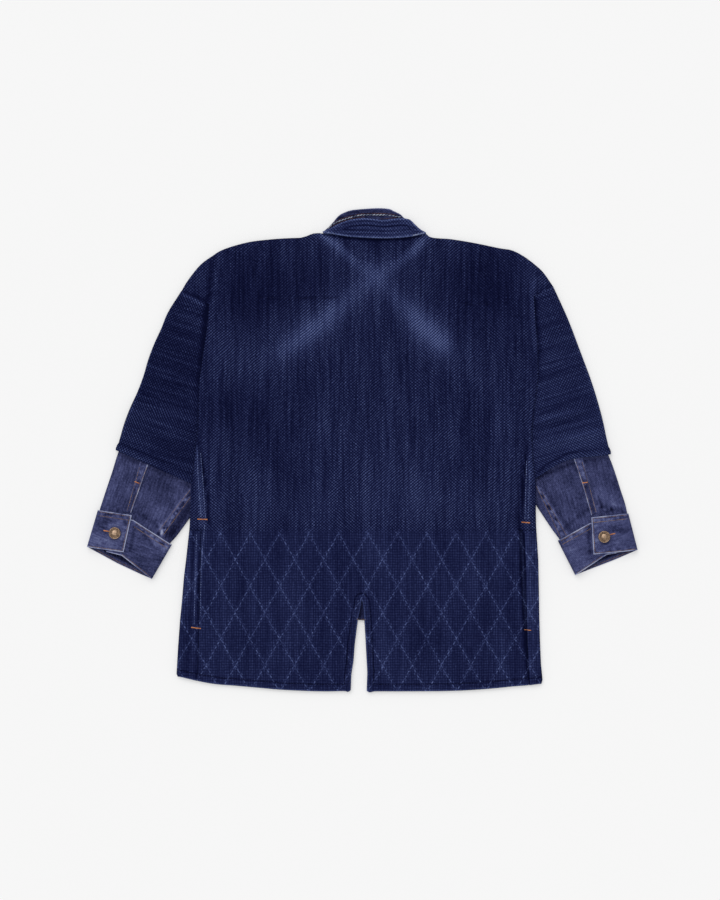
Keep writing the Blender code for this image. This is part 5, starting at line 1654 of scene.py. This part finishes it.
# tack buttons: a stamped cap with a rolled rim, a sunk ring of beads and a low dome
buttonCut = {
    "radius": 8.85,
    "capHeight": 3.2,
    "base": 12.7,
    "steps": [(1.0, 0.35), (0.5, -0.75), (2.3, 0.0), (0.5, 0.45), (1.6, 0.3), (1.4, 0.1)],
    "beads": 22,
    "beadRing": 5.9,
    "beadRadius": 0.62,
    "places": {"left": (-371.0, -124.5), "right": (362.0, -130.0)},
}
buttonMetal = agedBrass("antique brass, stamped and tumbled", (buttonCut["base"] + 2.0) * mm,
                        (buttonCut["base"] + 4.3) * mm)


def makeButton(side):
    x, y = buttonCut["places"][side]
    middle = Vector((x, y, buttonCut["base"] + buttonCut["capHeight"] / 2)) * mm
    bpy.ops.object.select_all(action="DESELECT")
    bpy.ops.mesh.primitive_cylinder_add(vertices=40, radius=buttonCut["radius"] * mm,
                                        depth=buttonCut["capHeight"] * mm, location=middle,
                                        enter_editmode=True)
    cap = bpy.context.object
    bpy.ops.mesh.select_mode(type="FACE")
    bpy.ops.mesh.select_all(action="DESELECT")
    bm = bmesh.from_edit_mesh(cap.data)
    for face in bm.faces:
        face.select = face.normal.z > 0.9
    bmesh.update_edit_mesh(cap.data)
    for inset, rise in buttonCut["steps"]:
        bpy.ops.mesh.inset(thickness=inset * mm, depth=0)
        bpy.ops.transform.translate(value=(0, 0, rise * mm))
    bpy.ops.mesh.select_all(action="DESELECT")
    bpy.ops.mesh.select_mode(type="EDGE")
    bm = bmesh.from_edit_mesh(cap.data)
    for edge in bm.edges:
        upright = all(face.normal.z < 0.9 for face in edge.link_faces)
        outside = all(hypot(v.co.x, v.co.y) > (buttonCut["radius"] - 1.1) * mm for v in edge.verts)
        edge.select = outside and not upright and abs(edge.verts[0].co.z - edge.verts[1].co.z) < 0.05 * mm
    bmesh.update_edit_mesh(cap.data)
    bpy.ops.mesh.bevel(offset=0.35 * mm, segments=2)
    bpy.ops.object.mode_set(mode="OBJECT")
    bpy.ops.object.transform_apply(location=True, rotation=False, scale=False)

    # one bead is modelled and copied round the ring
    ring = sum(step[1] for step in buttonCut["steps"][:3]) + buttonCut["capHeight"] + buttonCut["base"]
    bpy.ops.mesh.primitive_uv_sphere_add(segments=8, ring_count=5, radius=buttonCut["beadRadius"] * mm,
                                         location=(0, 0, 0))
    bead = bpy.context.object
    beads = []
    for k in range(buttonCut["beads"]):
        turn = 2 * pi * k / buttonCut["beads"]
        copy = bead.copy()
        copy.data = bead.data.copy()
        copy.location = (x * mm + buttonCut["beadRing"] * mm * cos(turn),
                         y * mm + buttonCut["beadRing"] * mm * sin(turn), ring * mm)
        scene.collection.objects.link(copy)
        beads.append(copy)
    bpy.data.objects.remove(bead, do_unlink=True)
    bpy.ops.object.select_all(action="DESELECT")
    for one in beads:
        one.select_set(True)
    cap.select_set(True)
    bpy.context.view_layer.objects.active = cap
    bpy.ops.object.join()
    cap.name = "button" + side.capitalize()
    cap.data.materials.clear()
    cap.data.materials.append(buttonMetal)
    bpy.ops.object.shade_smooth_by_angle(angle=radians(40))
    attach(cap, "root")
    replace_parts(cap, "button_" + side)


for side in ("left", "right"):
    makeButton(side)
print("stage: buttons made")


# the cut of each cloth: piece, (width, length) and area, what it lies on, its sewing
ground = ["studioFloor"]
clothCut = [
    (backPanel, (0.546, 0.69), 0.337, ["front_left", "front_right", "front_band_left", "front_band_right",
                                       "denim_underlayer", "sleeve_left", "sleeve_right"],
     ["hemStitching", "yokeStitching", "sideSeamStitching", "sideBarTacks"]),
    (frontLeft, (0.26, 0.69), 0.131, ground,
     ["stripHemStitchingLeft", "stripStitchingLeft", "stripBarTackLeft"]),
    (frontRight, (0.26, 0.69), 0.129, ground,
     ["stripHemStitchingRight", "stripStitchingRight", "stripBarTackRight"]),
    (bandLeft, (0.045, 0.68), 0.0299, ground, []),
    (bandRight, (0.046, 0.68), 0.0306, ground, []),
    (underFront, (0.2, 0.5), 0.097, ["front_band_left", "front_band_right"], ["frontEdgeStitching"]),
    (sleeveLeft, (0.27, 0.27), 0.058, ground, []),
    (sleeveRight, (0.25, 0.27), 0.0525, ground, []),
    (forearmLeft, (0.28, 0.14), 0.033, ground, ["armSeamStitchingLeft"]),
    (forearmRight, (0.27, 0.145), 0.0325, ground, ["armSeamStitchingRight"]),
    (placketLeft, (0.0145, 0.082), 0.00105, ["forearm_left"],
     ["placketBarTackLeft", "placketStitchingLeft"]),
    (placketRight, (0.014, 0.09), 0.0011, ["forearm_right"],
     ["placketBarTackRight", "placketStitchingRight"]),
    (cuffLeft, (0.27, 0.057), 0.0152, ground, ["cuffStitchingLeft", "buttonholeLeft"]),
    (cuffRight, (0.26, 0.057), 0.0144, ground, ["cuffStitchingRight", "buttonholeRight"]),
    (collarBand, (0.17, 0.03), 0.0045, ["back", "collar_inner"], ["bandStitching", "bandEndStitching"]),
    (collarInner, (0.155, 0.04), 0.0049, ["back"], ["collarRope", "collarStitching"]),
]
for piece, flat, area, under, sewn in clothCut:
    [sewing[name] for name in sewn]
    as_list(under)
